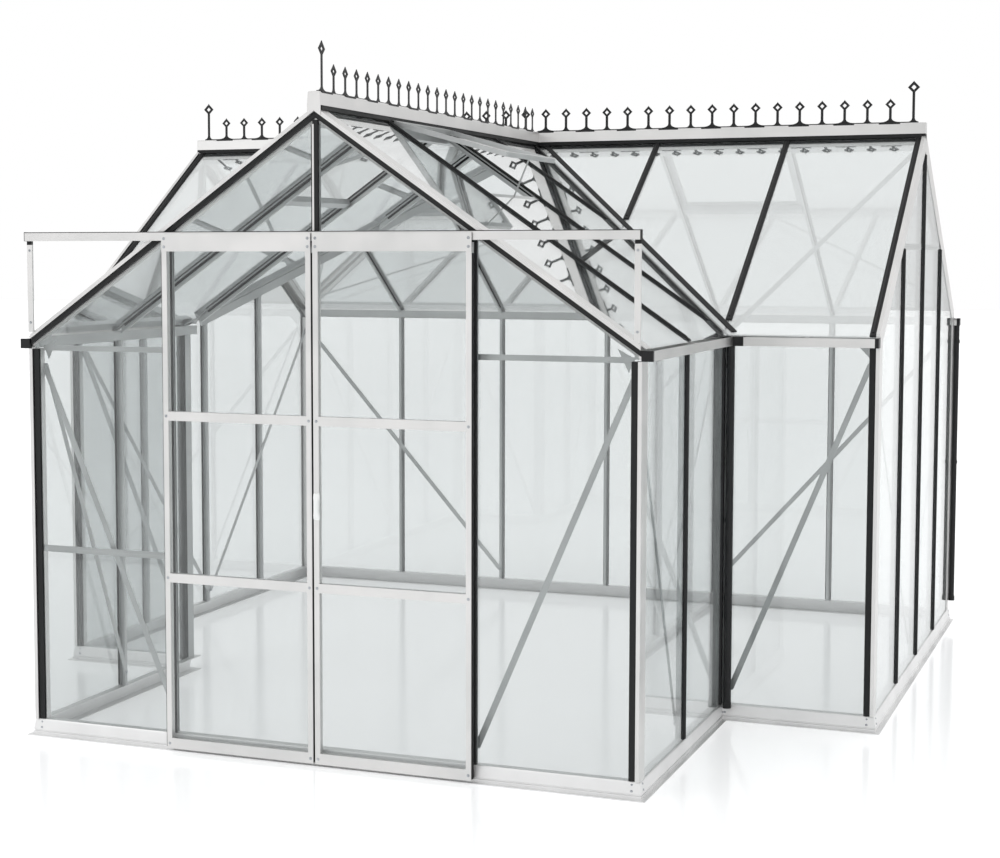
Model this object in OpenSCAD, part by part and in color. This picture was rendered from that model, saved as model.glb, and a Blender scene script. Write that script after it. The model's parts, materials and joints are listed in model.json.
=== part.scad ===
// Cross-ridge glasshouse: a main block with gables left and right, and a front
// wing with its own gable and a pair of sliding doors. Millimetres, +Z up.
// Origin: on the ground in the middle of the doorway, in the front glass plane.

/* [Plan and height] */
// Spacing of the glazing bars, which is the width of one bay
bay = 640; // [600:10:760]
// Height of the eave line above the ground
eave_h = 1645; // [1500:5:1900]
// Rise of the roof from the eave line to the apex of the glass
roof_rise = 880; // [780:10:1000]

/* [Glass and bars] */
// Thickness of the glass
glass_t = 3; // [3:1:4]
// Gap between two panes on a bar
pane_gap = 8; // [6:1:12]
// Width of a glazing bar and of its black capping
bar_w = 27; // [24:1:32]
// Depth of a glazing bar behind the glass
bar_d = 28; // [26:1:36]
// Thickness of the web and flanges of a bar
bar_t = 3; // [2.5:0.5:4]
// Width of the inner toe of a bar
toe_w = 14; // [10:1:18]
// Height of the capping above the glass
cap_t = 6; // [5:1:7]

/* [Corner profile] */
// Distance that the corner profile's lip stands out from the glass plane
lip_out = 16; // [14:1:20]
// Width of the lip
lip_w = 15; // [12:1:18]
// Width of the flange that covers the glass beside a corner
cover_w = 60; // [50:2:70]
// Thickness of the corner profile
post_t = 4; // [3:0.5:5]
// Depth of the corner profile's inner leg
leg_d = 44; // [40:1:50]

/* [Base] */
// Height of the base profile
base_h = 66; // [55:1:80]
// Reach of the base profile behind the glass plane
base_in = 30; // [28:1:40]
// Reach of the base profile's ground flange outside the glass plane
flange_out = 34; // [28:1:36]

/* [Doors] */
// Height of the underside of the door track
track_z = 2028; // [1980:2:2040]
// Height of the door track
track_h = 32; // [28:1:36]
// Depth of the door track, front to back
track_d = 24; // [22:1:28]
// Width of one door leaf
leaf_w = 644; // [600:2:650]
// Depth of a door leaf, front to back
leaf_d = 24; // [20:1:26]
// Width of a door stile
stile_w = 22; // [18:1:30]
// Ground clearance of the door leaves
leaf_low = 14; // [10:1:20]
// Clearance of a moving leaf from what it slides past
run_gap = 6; // [5:1:8]

/* [Gutter and ridge] */
// Width of the gutter
gutter_w = 42; // [36:1:50]
// Height of the gutter
gutter_h = 37; // [30:1:44]
// Radius of a downpipe
pipe_r = 15; // [12:1:18]
// Height of the ridge capping above its seal
ridge_cap_h = 52; // [44:1:60]
// Half the width of the ridge capping at its foot
ridge_half = 28; // [24:1:34]

/* [Roof vents] */
// Length of a roof vent down the slope
vent_len = 510; // [440:10:560]
// Angle by which the open vents are raised
vent_open = 19; // [8:1:25]
// Width and depth of the vent frame's bars
vent_bar = 20; // [16:1:24]

/* [Crest] */
// Height of a small finial
finial_h = 116; // [80:2:130]
// Height of a tall finial
tall_h = 196; // [150:2:220]
// Thickness of the crest
crest_t = 4; // [3:1:6]
// Number of finials in one bay
finials_per_bay = 6; // [4:1:8]

/* [Hidden] */

// Small gap that keeps like solids of one node apart
fit = 0.4;
run = 2 * bay;
tan_p = roof_rise / run;
pitch = atan(tan_p);
cos_p = cos(pitch);
ridge_h = eave_h + roof_rise;
cap_top = glass_t + cap_t;
gutter_z = [eave_h - 50, eave_h - 50 + gutter_h];
fitting = 1;
post_top = gutter_z[0] - fitting - fit;
flash_w = 34;

// Plan corners, anticlockwise from the front left corner, and the walls' headings
CORNERS = [[-2, 0], [2, 0], [2, 2], [3, 2], [3, 6], [-3, 6], [-3, 2], [-2, 2]] * bay;
HEADING = [0, 90, 0, 90, 180, 270, 0, 270];
WALL_LEN = [4, 2, 1, 4, 6, 4, 1, 2] * bay;
FRONT = 0;
WING_R = 1;
MAIN_R = 2;
GABLE_R = 3;
REAR = 4;
GABLE_L = 5;
MAIN_L = 6;
WING_L = 7;

// Colours
ALU = [0.80, 0.81, 0.82];
BLACK = [0.16, 0.16, 0.17];
GLASS = [0.80, 0.87, 0.90, 0.35];

// Height of the roof plane over a point that lies d inside an eave wall
function roof_z(d, w = 0) = eave_h + d * tan_p + w / cos_p;

// Puts children on a wall: x along it, y inwards, z up
module on_wall(i) translate([CORNERS[i].x, CORNERS[i].y, 0]) rotate([0, 0, HEADING[i]]) children();

// Block given by its ranges along the wall, inwards and up
module block(s, d, z)
  translate([s[0], d[0], z[0]]) cube([s[1] - s[0], d[1] - d[0], z[1] - z[0]]);

// Slab parallel to the roof with upright ends: ranges along the eave, inwards and
// out from the roof plane
module slab(s, d, w)
  translate([s[0], 0, 0]) rotate([90, 0, 90]) linear_extrude(s[1] - s[0])
    polygon([[d[0], roof_z(d[0], w[0])], [d[1], roof_z(d[1], w[0])],
             [d[1], roof_z(d[1], w[1])], [d[0], roof_z(d[0], w[1])]]);

// Outline in the wall's plane, made solid between two depths behind the glass plane
module wall_plate(points, d)
  translate([0, d[1], 0]) rotate([90, 0, 0]) linear_extrude(d[1] - d[0]) polygon(points);

// Corners of a straight strip between two points
function strip(a, b, width) =
  let (v = b - a, n = [-v.y, v.x] / norm(v) * width / 2) [a - n, b - n, b + n, a + n];

// ---------- base ----------
foot_out = 16;
base_lip = 3;
BASE_PROFILE = [
  [-base_in, 0], [flange_out, 0], [flange_out, base_lip], [foot_out, base_lip],
  [foot_out, 15], [12, 17], [12, 20], [15, 22], [9, base_h - 4], [6, base_h],
  [-base_in, base_h], [-base_in, base_h - base_lip], [4, base_h - base_lip],
  [9, 22], [9, base_lip], [-base_in, base_lip]];

// Signs of the outward corner of each plan corner
OUTWARD = [[-1, -1], [1, -1], [1, -1], [1, -1], [1, 1], [-1, 1], [-1, -1], [-1, -1]];

// Mitred base profile along one wall
module base_run(i)
  color(ALU) {
    j = (i + 1) % len(CORNERS);
    far = flange_out + bay / 4;
    near = base_in + bay / 4;
    intersection() {
      on_wall(i) translate([-far, 0, 0]) rotate([90, 0, 90])
        linear_extrude(WALL_LEN[i] + 2 * far)
          polygon([for (p = BASE_PROFILE) [-p.x, p.y]]);
      linear_extrude(base_h)
        polygon([CORNERS[i] + OUTWARD[i] * far, CORNERS[j] + OUTWARD[j] * far,
                 CORNERS[j] - OUTWARD[j] * near, CORNERS[i] - OUTWARD[i] * near]);
    }
  }
module base_front() base_run(FRONT);
module base_wing_sides() for (i = [WING_R, WING_L]) base_run(i);
module base_main_fronts() for (i = [MAIN_R, MAIN_L]) base_run(i);
module base_gables() for (i = [GABLE_R, GABLE_L]) base_run(i);
module base_rear() base_run(REAR);

// ---------- corner profile, for posts and rakes ----------
// Rectangles of the section: out from face B, and inwards from face A. Face A
// carries the capping, face B the cover flange.
cover_t = 3;
leg_a = 38;
lip_over = lip_w - (glass_t + cover_t);
side_out = glass_t + cover_t;
MAIN_RECTS = [
  [[-lip_over, side_out], [-lip_out, 0]],
  [[glass_t, side_out], [0, cover_w]],
  [[0, glass_t], [0, cover_w / 3]],
  [[-post_t, 0], [0, leg_d]],
  [[-leg_a, -post_t], [0, post_t]]];
LIP = 0;
COVER = 1;
LEG_B = 3;
HOOK_A = [[-leg_a, post_t - leg_a], [post_t, bar_d]];
HOOK_B = [[-bar_d, -post_t], [leg_d - post_t, leg_d]];

// A post's rectangles, drawn in plan with the corner's own signs
module post_plan(i, rects) {
  // Face A looks along Y on every corner, and face B along X
  sx = OUTWARD[i].x;
  sy = -OUTWARD[i].y;
  for (r = rects)
    polygon([[sx * r[0][0], sy * r[1][0]], [sx * r[0][1], sy * r[1][0]],
             [sx * r[0][1], sy * r[1][1]], [sx * r[0][0], sy * r[1][1]]]);
}
// Front posts are cut off square under the gutter fittings
module front_post(i)
  translate([CORNERS[i].x, CORNERS[i].y, base_h]) linear_extrude(post_top - base_h)
    post_plan(i, concat(MAIN_RECTS, [HOOK_A, HOOK_B]));
// Posts of the main block stop under the rakes, which lie in their gable face
module main_post(i) {
  rake_foot = roof_z(0, -leg_d) - fit;
  translate([CORNERS[i].x, CORNERS[i].y, base_h]) {
    linear_extrude(post_top - base_h) post_plan(i, [MAIN_RECTS[LIP], MAIN_RECTS[2]]);
    linear_extrude(rake_foot - base_h)
      post_plan(i, [MAIN_RECTS[LEG_B], MAIN_RECTS[4], HOOK_A, HOOK_B]);
  }
  sx = OUTWARD[i].x;
  sy = -OUTWARD[i].y;
  translate([CORNERS[i].x + (sx > 0 ? glass_t : -side_out), CORNERS[i].y, 0])
    rotate([90, 0, 90]) linear_extrude(cover_t)
      polygon([for (p = [[0, base_h], [cover_w, base_h],
                         [cover_w, roof_z(cover_w, -cover_w) - fit],
                         [0, roof_z(0, -cover_w) - fit]])
               [sy * p.x, p.y]]);
}
module corner_posts()
  color(ALU) {
    for (i = [0, 1]) front_post(i);
    for (i = [3, 4, 5, 6]) main_post(i);
  }

// Posts in the two inner corners, behind both glass planes
module inner_corner_posts()
  color(ALU) for (i = [2, 7])
    translate([CORNERS[i].x, CORNERS[i].y, base_h]) {
      sx = OUTWARD[i].x;
      linear_extrude(eave_beam_z[0] - base_h)
        for (r = [[[-post_t, 0], [-leg_a, post_t]], [[-post_t, leg_a], [0, post_t]],
                  [[-bar_d, 0], [-leg_a, post_t - leg_a]],
                  [[leg_a - post_t, leg_a], [0, bar_d]]])
          polygon([[sx * r[0][0], r[1][0]], [sx * r[0][1], r[1][0]],
                   [sx * r[0][1], r[1][1]], [sx * r[0][0], r[1][1]]]);
    }

// ---------- bars ----------
// Rectangles of a bar's section: half width, and range behind the glass plane
BAR_RECTS = [[bar_w / 2, [0, bar_t]], [bar_t / 2, [0, bar_d]],
             [toe_w / 2, [bar_d - bar_t, bar_d]]];

module wall_bar(s, z) for (r = BAR_RECTS) block([s - r[0], s + r[0]], r[1], z);
module cross_bar(s, z) for (r = BAR_RECTS) block(s, r[1], [z - r[0], z + r[0]]);
module rafter(s, d) {
  slab([s - bar_w / 2, s + bar_w / 2], [d[0], d[1]], [-bar_t, 0]);
  seat = max(d[0], bar_d);
  slab([s - bar_t / 2, s + bar_t / 2], [seat, d[1]], [-bar_d, 0]);
  slab([s - toe_w / 2, s + toe_w / 2], [seat, d[1]], [-bar_d, bar_t - bar_d]);
}

eave_beam_z = [eave_h - 45, eave_h - 5];
// Height of the bars' tops under a rake at a distance s along a gable
function rake_under(s) = roof_z(s - bar_w / 2, -leg_d) - 1;
head_z = roof_z(bay - bar_w / 2, -leg_a) - bar_w / 2 - 3;
ridge_beam_half = 30;
ridge_beam_low = ridge_h - ridge_beam_half * tan_p - 45;

module front_wall_bars()
  color(ALU) on_wall(FRONT) {
    jamb_top = roof_z(bay - bar_w / 2, -leg_a) - 1;
    for (s = [bay, 3 * bay]) wall_bar(s, [base_h, jamb_top]);
    cross_bar([bay + bar_w / 2 + fit, 3 * bay - bar_w / 2 - fit], head_z);
    wall_bar(run, [head_z + bar_w / 2 + fit, ridge_beam_low]);
    cross_bar([leg_a + fit, bay - bar_w / 2 - fit], transom_z);
  }
transom_z = 777;

module wing_wall_bars()
  color(ALU) for (i = [WING_R, WING_L]) on_wall(i) wall_bar(bay, [base_h, eave_beam_z[0]]);

// Cross bars join the gables' bars where the outer two meet the rakes
gable_cross_z = rake_under(bay) - bar_w / 2;
module gable_wall_bars()
  color(ALU) for (i = [GABLE_R, GABLE_L]) on_wall(i) {
    for (s = [bay, 3 * bay]) wall_bar(s, [base_h, rake_under(bay)]);
    wall_bar(run, [base_h, ridge_beam_low]);
    for (s = [bay, run])
      cross_bar([s + bar_w / 2 + fit, s + bay - bar_w / 2 - fit], gable_cross_z);
  }

module rear_wall_bars()
  color(ALU) on_wall(REAR) for (k = [1:5]) wall_bar(k * bay, [base_h, eave_beam_z[0]]);

// ---------- eaves, rakes, ridges, rafters ----------
module eave_beam(i, s) on_wall(i) block(s, [0, bar_d], eave_beam_z);
module eave_beams()
  color(ALU) {
    eave_beam(WING_R, [post_t, run - fit]);
    eave_beam(WING_L, [fit, run - post_t]);
    eave_beam(MAIN_R, [-bar_d, bay - post_t]);
    eave_beam(MAIN_L, [post_t, bay + bar_d]);
    eave_beam(REAR, [post_t, 6 * bay - post_t]);
  }

// Rakes of the front gable: face A is the gable, face B the roof
// Flat section of s and w carried up the slope, cut upright at two depths
module up_slope(d)
  intersection() {
    translate([0, 0, eave_h]) rotate([pitch, 0, 0]) translate([0, ridge_h, 0]) rotate([90, 0, 0])
      linear_extrude(ridge_h + bay) children();
    block([-4 * bay, 8 * bay], d, [0, 2 * ridge_h]);
  }
module rect(a, b) translate([min(a), min(b)]) square([max(a) - min(a), max(b) - min(b)]);
module front_rake(i, sgn, s0)
  on_wall(i) {
    up_slope([0, run - fit]) for (r = MAIN_RECTS) translate([s0, 0]) rect(sgn * r[1], r[0]);
    up_slope([-lip_out, 0]) translate([s0, 0]) rect(sgn * MAIN_RECTS[COVER][1], MAIN_RECTS[COVER][0]);
    up_slope([bar_d, run - ridge_beam_half]) translate([s0, 0]) rect(sgn * HOOK_A[1], HOOK_A[0]);
  }
module front_rakes()
  color(ALU) {
    front_rake(WING_R, 1, 0);
    front_rake(WING_L, -1, run);
  }

// Rakes of the main gables: face A is the roof, face B the gable
module main_rake(i, sgn, s0)
  on_wall(i) {
    up_slope([0, run - fit])
      for (k = [COVER:len(MAIN_RECTS) - 1]) translate([s0, 0])
        rect(sgn * MAIN_RECTS[k][0], -MAIN_RECTS[k][1]);
    up_slope([-lip_out, run - ridge_half - 1])
      translate([s0, 0]) rect(sgn * MAIN_RECTS[LIP][0], -MAIN_RECTS[LIP][1]);
    up_slope([bar_d, run - ridge_beam_half]) translate([s0, 0]) rect(sgn * HOOK_A[0], [-bar_d, -post_t]);
  }
module main_rakes()
  color(ALU) {
    main_rake(MAIN_R, 1, bay);
    main_rake(MAIN_L, -1, 0);
    main_rake(REAR, 1, 6 * bay);
    main_rake(REAR, -1, 0);
  }

// Ridge beams under the apex; their tops follow the roof post_t below it
module ridge_beam_section() {
  top = -post_t / cos_p;
  edge = top - ridge_beam_half * tan_p;
  polygon([[0, top], [ridge_beam_half, edge], [ridge_beam_half, ridge_beam_low - ridge_h],
           [-ridge_beam_half, ridge_beam_low - ridge_h], [-ridge_beam_half, edge]]);
}
module along_x(x) translate([x[0], 2 * run, ridge_h]) rotate([90, 0, 90])
  linear_extrude(x[1] - x[0]) children();
module along_y(y) translate([0, y[1], ridge_h]) rotate([90, 0, 0])
  linear_extrude(y[1] - y[0]) children();
main_end = 3 * bay;
module main_ridge_beam()
  color(ALU) along_x([post_t - main_end, main_end - post_t]) ridge_beam_section();
module wing_ridge_beam()
  color(ALU) along_y([post_t, 2 * run - ridge_beam_half]) ridge_beam_section();

seal_half = 24;
seal_top = 11;
module seal_section() {
  apex = cap_top / cos_p;
  edge = apex - seal_half * tan_p;
  polygon([[0, apex], [seal_half, edge], [seal_half, seal_top], [-seal_half, seal_top],
           [-seal_half, edge]]);
}
cap_end = 6;
module ridge_seals()
  color(BLACK) {
    along_x([-main_end - cap_end, main_end + cap_end]) seal_section();
    along_y([0, 2 * run - seal_half - fit]) seal_section();
  }
module cap_section() {
  top = seal_top + ridge_cap_h;
  polygon([[ridge_half, seal_top], [ridge_half - 4, top - 4], [ridge_half - 8, top],
           [8 - ridge_half, top], [4 - ridge_half, top - 4], [-ridge_half, seal_top]]);
}
// Plate that closes the front end of the wing's ridge, down over the rakes
end_plate = 3;
end_drop = 8;
module end_section() {
  edge = -ridge_half * tan_p - end_drop;
  polygon([[ridge_half, seal_top], [ridge_half, edge], [0, -end_drop], [-ridge_half, edge],
           [-ridge_half, seal_top]]);
  cap_section();
}
module main_ridge_cap()
  color(ALU) along_x([-main_end - cap_end, main_end + cap_end]) cap_section();
module wing_ridge_cap()
  color(ALU) difference() {
    union() {
      along_y([-lip_out, 2 * run]) cap_section();
      along_y([-lip_out - end_plate, -lip_out]) end_section();
    }
    main_ridge_cap();
  }

// Places where rafters stand along each slope and how far up they start
rafter_top = run - ridge_beam_half;
module main_rafters()
  color(ALU) {
    on_wall(MAIN_R) {
      rafter(0, [valley_clear, rafter_top]);
      rafter(-bay, [bay + valley_clear, rafter_top]);
    }
    on_wall(MAIN_L) {
      rafter(bay, [valley_clear, rafter_top]);
      rafter(2 * bay, [bay + valley_clear, rafter_top]);
    }
    on_wall(REAR) for (k = [1:5]) rafter(k * bay, [0, rafter_top]);
  }
module wing_rafters()
  color(ALU) {
    on_wall(WING_R) {
      rafter(bay, [0, rafter_top]);
      rafter(run, [valley_clear, rafter_top]);
      rafter(3 * bay, [bay + valley_clear, rafter_top]);
    }
    on_wall(WING_L) {
      rafter(bay, [0, rafter_top]);
      rafter(0, [valley_clear, rafter_top]);
      rafter(-bay, [bay + valley_clear, rafter_top]);
    }
  }
valley_clear = flash_w * sqrt(2) + bar_w / 2 + fit;

// ---------- valleys ----------
valley_w = 26;
valley_drop = 34;
valley_cut = 1.5;
// A valley bar runs from an inner corner to the crossing under both slopes
module valley_bar(side) {
  start = [side * run, run, eave_h];
  plan = run * sqrt(2);
  rise = atan(roof_rise / plan);
  heading = side > 0 ? 135 : 45;
  // Slope of both roof planes seen square to the valley
  vee = tan(acos(cos_p * cos_p) / 2);
  top = -bar_t - 1;
  length = norm([plan, roof_rise]);
  first = bar_d * 1.9;
  last = (ridge_beam_half * sqrt(2) + valley_w / 2 + valley_drop * sin(rise)) / cos(rise) + fit;
  translate(start) rotate([0, -rise, heading]) rotate([90, 0, 90])
    translate([0, 0, first]) linear_extrude(length - first - last)
      polygon([[0, top], [valley_w / 2, top + valley_w / 2 * vee],
               [valley_w / 2, -valley_drop], [-valley_w / 2, -valley_drop],
               [-valley_w / 2, top + valley_w / 2 * vee]]);
}
module valley_bars() color(ALU) for (side = [-1, 1]) valley_bar(side);

// Flashing strips lie on the glass along both sides of each valley. Their plan
// runs beside the valley's 45 degree line between two distances from it.
module beside_valley(i, from, to, s0, sgn, w)
  on_wall(i) intersection() {
    slab([s0 - 3 * bay, s0 + 3 * bay], [2, run - seal_half - 2], w);
    linear_extrude(ridge_h + bay) {
      k = sqrt(2);
      polygon([[s0 - sgn * from * k, 0], [s0 - sgn * to * k, 0],
               [s0 - sgn * to * k + sgn * run, run], [s0 - sgn * from * k + sgn * run, run]]);
    }
  }
VALLEY_SIDES = [[WING_R, run, 1], [MAIN_R, 0, -1], [WING_L, 0, -1], [MAIN_L, bay, 1]];
module valley_flashings()
  color(ALU) for (v = VALLEY_SIDES)
    beside_valley(v[0], valley_cut, flash_w, v[1], v[2], [-bar_t, 0]);

// ---------- capping ----------
cap_top_w = bar_w - 6;
CAP_SECTION = [[-bar_w / 2, glass_t], [bar_w / 2, glass_t], [cap_top_w / 2 + 1, cap_top - 1],
               [cap_top_w / 2, cap_top], [-cap_top_w / 2, cap_top],
               [-cap_top_w / 2 - 1, cap_top - 1]];
cap_low = base_h + 2;
cap_high = eave_h - 52;
corner_cap = lip_over + 1 + bar_w / 2;
module wall_cap(s, z)
  translate([s, 0, z[0]]) linear_extrude(z[1] - z[0])
    polygon([for (p = CAP_SECTION) [p.x, -p.y]]);
module wall_capping()
  color(BLACK) {
    on_wall(FRONT) {
      for (s = [corner_cap, WALL_LEN[FRONT] - corner_cap]) wall_cap(s, [cap_low, cap_high]);
      for (s = [bay, 3 * bay]) wall_cap(s, [cap_low, track_z - 2]);
      wall_cap(run, [track_z + track_h + 2,
                     roof_z(run - bar_w / 2, -lip_over - 1 - rake_cap_w) - fit]);
    }
    on_wall(WING_R) {
      wall_cap(bay, [cap_low, cap_high]);
      wall_cap(run - corner_cap, [cap_low, cap_high]);
    }
    on_wall(WING_L) {
      wall_cap(bay, [cap_low, cap_high]);
      wall_cap(corner_cap, [cap_low, cap_high]);
    }
    on_wall(MAIN_R) for (s = [corner_cap + cap_top, bay - corner_cap])
      wall_cap(s, [cap_low, cap_high]);
    on_wall(MAIN_L) for (s = [corner_cap, bay - corner_cap - cap_top])
      wall_cap(s, [cap_low, cap_high]);
    for (i = [GABLE_R, GABLE_L]) on_wall(i) {
      for (s = [bay, 3 * bay]) wall_cap(s, [cap_low, roof_z(bay - bar_w / 2, -cover_w) - 2]);
      wall_cap(run, [cap_low, roof_z(run - bar_w / 2, -cover_w) - 2]);
    }
    on_wall(REAR) {
      for (k = [1:5]) wall_cap(k * bay, [cap_low, cap_high]);
      for (s = [corner_cap, 6 * bay - corner_cap]) wall_cap(s, [cap_low, cap_high]);
    }
  }

// Capping on the roof: three slabs make its section
eave_over = 14;
module roof_cap(s, d) {
  slab([s - bar_w / 2, s + bar_w / 2], d, [glass_t, cap_top - 2]);
  slab([s - cap_top_w / 2, s + cap_top_w / 2], d, [glass_t, cap_top]);
}
cap_ridge = run - seal_half - 1;
// Strip of capping on the gable face below the front rakes
rake_cap_w = 18;
module rake_cap(i, s, d) on_wall(i) slab(s, d, [-lip_over - 1 - rake_cap_w, -lip_over - 1]);
valley_cap_from = 20;
valley_cap_to = 38;
module roof_capping()
  color(BLACK) {
    rake_cap(WING_R, [-cap_top, -glass_t], [0, run - fit]);
    rake_cap(WING_L, [run + glass_t, run + cap_top], [0, run - fit]);
    on_wall(MAIN_R) {
      roof_cap(0, [valley_start, cap_ridge]);
      roof_cap(bay - corner_cap, [-eave_over, cap_ridge]);
      roof_cap(-bay, [bay + valley_start, cap_ridge]);
    }
    on_wall(MAIN_L) {
      roof_cap(bay, [valley_start, cap_ridge]);
      roof_cap(corner_cap, [-eave_over, cap_ridge]);
      roof_cap(2 * bay, [bay + valley_start, cap_ridge]);
    }
    on_wall(REAR) {
      for (k = [1:5]) roof_cap(k * bay, [-eave_over, cap_ridge]);
      for (s = [corner_cap, 6 * bay - corner_cap]) roof_cap(s, [-eave_over, cap_ridge]);
    }
    on_wall(WING_R) {
      roof_cap(bay, [-eave_over, cap_ridge]);
      roof_cap(run, [valley_start, cap_ridge]);
      roof_cap(3 * bay, [bay + valley_start, cap_ridge]);
    }
    on_wall(WING_L) {
      roof_cap(bay, [-eave_over, cap_ridge]);
      roof_cap(0, [valley_start, cap_ridge]);
      roof_cap(-bay, [bay + valley_start, cap_ridge]);
    }
    for (v = VALLEY_SIDES)
      beside_valley(v[0], valley_cap_from, valley_cap_to, v[1], v[2], [glass_t, cap_top - 2]);
  }
valley_start = (valley_cap_to + 2) * sqrt(2) + bar_w / 2;

// ---------- glass ----------
glass_low = base_h + 1;
edge = pane_gap / 2;
glass_top = eave_h - 42;
corner_glass = lip_over + 2;
flange_glass = cover_w / 3 + 2;
module pane(s, z) block(s, [-glass_t, 0], z);
// Pane with a sloping top, from its lower corners and its upper corners' heights
module sloped_pane(s, z0, z1, peak = [])
  wall_plate(concat([[s[0], z0], [s[1], z0], [s[1], z1[1]]], peak, [[s[0], z1[0]]]),
             [-glass_t, 0]);
module glass_front_wall()
  color(GLASS) on_wall(FRONT) {
    side_z = [roof_z(corner_glass, -lip_over) - 1, roof_z(bay - edge, -lip_over) - 1];
    s = [corner_glass, bay - edge];
    pane(s, [glass_low, transom_z - 1]);
    sloped_pane(s, transom_z + 1, side_z);
    translate([WALL_LEN[FRONT], 0, 0]) sloped_pane([-s[1], -s[0]], glass_low, [side_z[1], side_z[0]]);
    head = head_z - bar_w / 4;
    top_a = roof_z(bay + edge, -lip_over) - 1;
    top_b = roof_z(run - edge, -lip_over) - 1;
    sloped_pane([bay + edge, run - edge], head, [top_a, top_b]);
    sloped_pane([run + edge, 3 * bay - edge], head, [top_b, top_a]);
  }
module glass_wing_walls()
  color(GLASS) {
    on_wall(WING_R) {
      pane([flange_glass, bay - edge], [glass_low, glass_top]);
      pane([bay + edge, run - edge], [glass_low, glass_top]);
    }
    on_wall(WING_L) {
      pane([edge, bay - edge], [glass_low, glass_top]);
      pane([bay + edge, run - flange_glass], [glass_low, glass_top]);
    }
  }
module glass_main_fronts()
  color(GLASS) {
    on_wall(MAIN_R) pane([edge + glass_t, bay - corner_glass], [glass_low, glass_top]);
    on_wall(MAIN_L) pane([corner_glass, bay - edge - glass_t], [glass_low, glass_top]);
  }
module glass_gables()
  color(GLASS) for (i = [GABLE_R, GABLE_L]) on_wall(i) {
    under = -flange_glass;
    a = [flange_glass, bay - edge];
    za = [roof_z(a[0], under), roof_z(a[1], under)];
    sloped_pane(a, glass_low, za);
    sloped_pane([4 * bay - a[1], 4 * bay - a[0]], glass_low, [za[1], za[0]]);
    b = [bay + edge, run - edge];
    zb = [roof_z(b[0], under), roof_z(b[1], under)];
    pane(b, [glass_low, gable_cross_z - 1]);
    sloped_pane(b, gable_cross_z + 1, zb);
    translate([run, 0, 0]) pane([edge, bay - edge], [glass_low, gable_cross_z - 1]);
    translate([run, 0, 0]) sloped_pane([edge, bay - edge], gable_cross_z + 1, [zb[1], zb[0]]);
  }
module glass_rear_wall()
  color(GLASS) on_wall(REAR) for (k = [0:5])
    pane([k == 0 ? corner_glass : k * bay + edge,
          k == 5 ? 6 * bay - corner_glass : (k + 1) * bay - edge], [glass_low, glass_top]);

// Roof panes; the ones beside a valley are cut along it
glass_ridge = run - 20;
// Thin clearance of the sloping panes under and over them
bed = 0.05;
module roof_pane(s, d) slab(s, d, [bed, glass_t - bed]);
// Upright prism over the part of a slope that lies clear of its valley
module clear_of_valley(s0, sgn)
  linear_extrude(ridge_h + bay) {
    back = 5 * bay;
    k = valley_cut * 2 + glass_t;
    polygon([[s0 - sgn * (k + bay), -bay], [s0 - sgn * (k - 2 * run), 2 * run],
             [s0 - sgn * back, 2 * run], [s0 - sgn * back, -bay]]);
  }
module valley_pane(i, s, s0, sgn)
  on_wall(i) intersection() {
    roof_pane(s, [-eave_over - 2, glass_ridge]);
    clear_of_valley(s0, sgn);
  }
vent_hinge = 42;
vent_lift = 20;
vent_side = bar_w / 2 + 1;
vent_reach = vent_hinge + vent_len * cos_p - 22;
sill_d = [run - vent_reach - 26, run - vent_reach];
sill_top = vent_lift - vent_bar - fit;
module glass_main_roof()
  color(GLASS) {
    valley_pane(MAIN_R, [edge, bay - corner_glass], 0, -1);
    valley_pane(MAIN_L, [corner_glass, bay - edge], bay, 1);
    for (k = [1, 2]) {
      valley_pane(MAIN_R, [-k * bay + edge, (1 - k) * bay - edge], 0, -1);
      valley_pane(MAIN_L, [k * bay + edge, (k + 1) * bay - edge], bay, 1);
    }
    on_wall(REAR) for (k = [0:5])
      roof_pane([k == 0 ? corner_glass : k * bay + edge,
                 k == 5 ? 6 * bay - corner_glass : (k + 1) * bay - edge],
                [-eave_over - 2, k == 1 || k == 4 ? sill_d[0] - fit : glass_ridge]);
  }
module glass_wing_roof()
  color(GLASS) {
    on_wall(WING_R) {
      roof_pane([flange_glass, bay - edge], [-eave_over - 2, glass_ridge]);
      intersection() {
        roof_pane([bay + edge, run - edge], [-eave_over - 2, sill_d[0] - fit]);
        clear_of_valley(run, 1);
      }
    }
    on_wall(WING_L) {
      roof_pane([bay + edge, run - flange_glass], [-eave_over - 2, glass_ridge]);
      intersection() {
        roof_pane([edge, bay - edge], [-eave_over - 2, sill_d[0] - fit]);
        clear_of_valley(0, -1);
      }
    }
    for (k = [2, 3]) {
      valley_pane(WING_R, [k * bay + edge, (k + 1) * bay - edge], run, 1);
      valley_pane(WING_L, [(1 - k) * bay + edge, (2 - k) * bay - edge], 0, -1);
    }
  }

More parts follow.
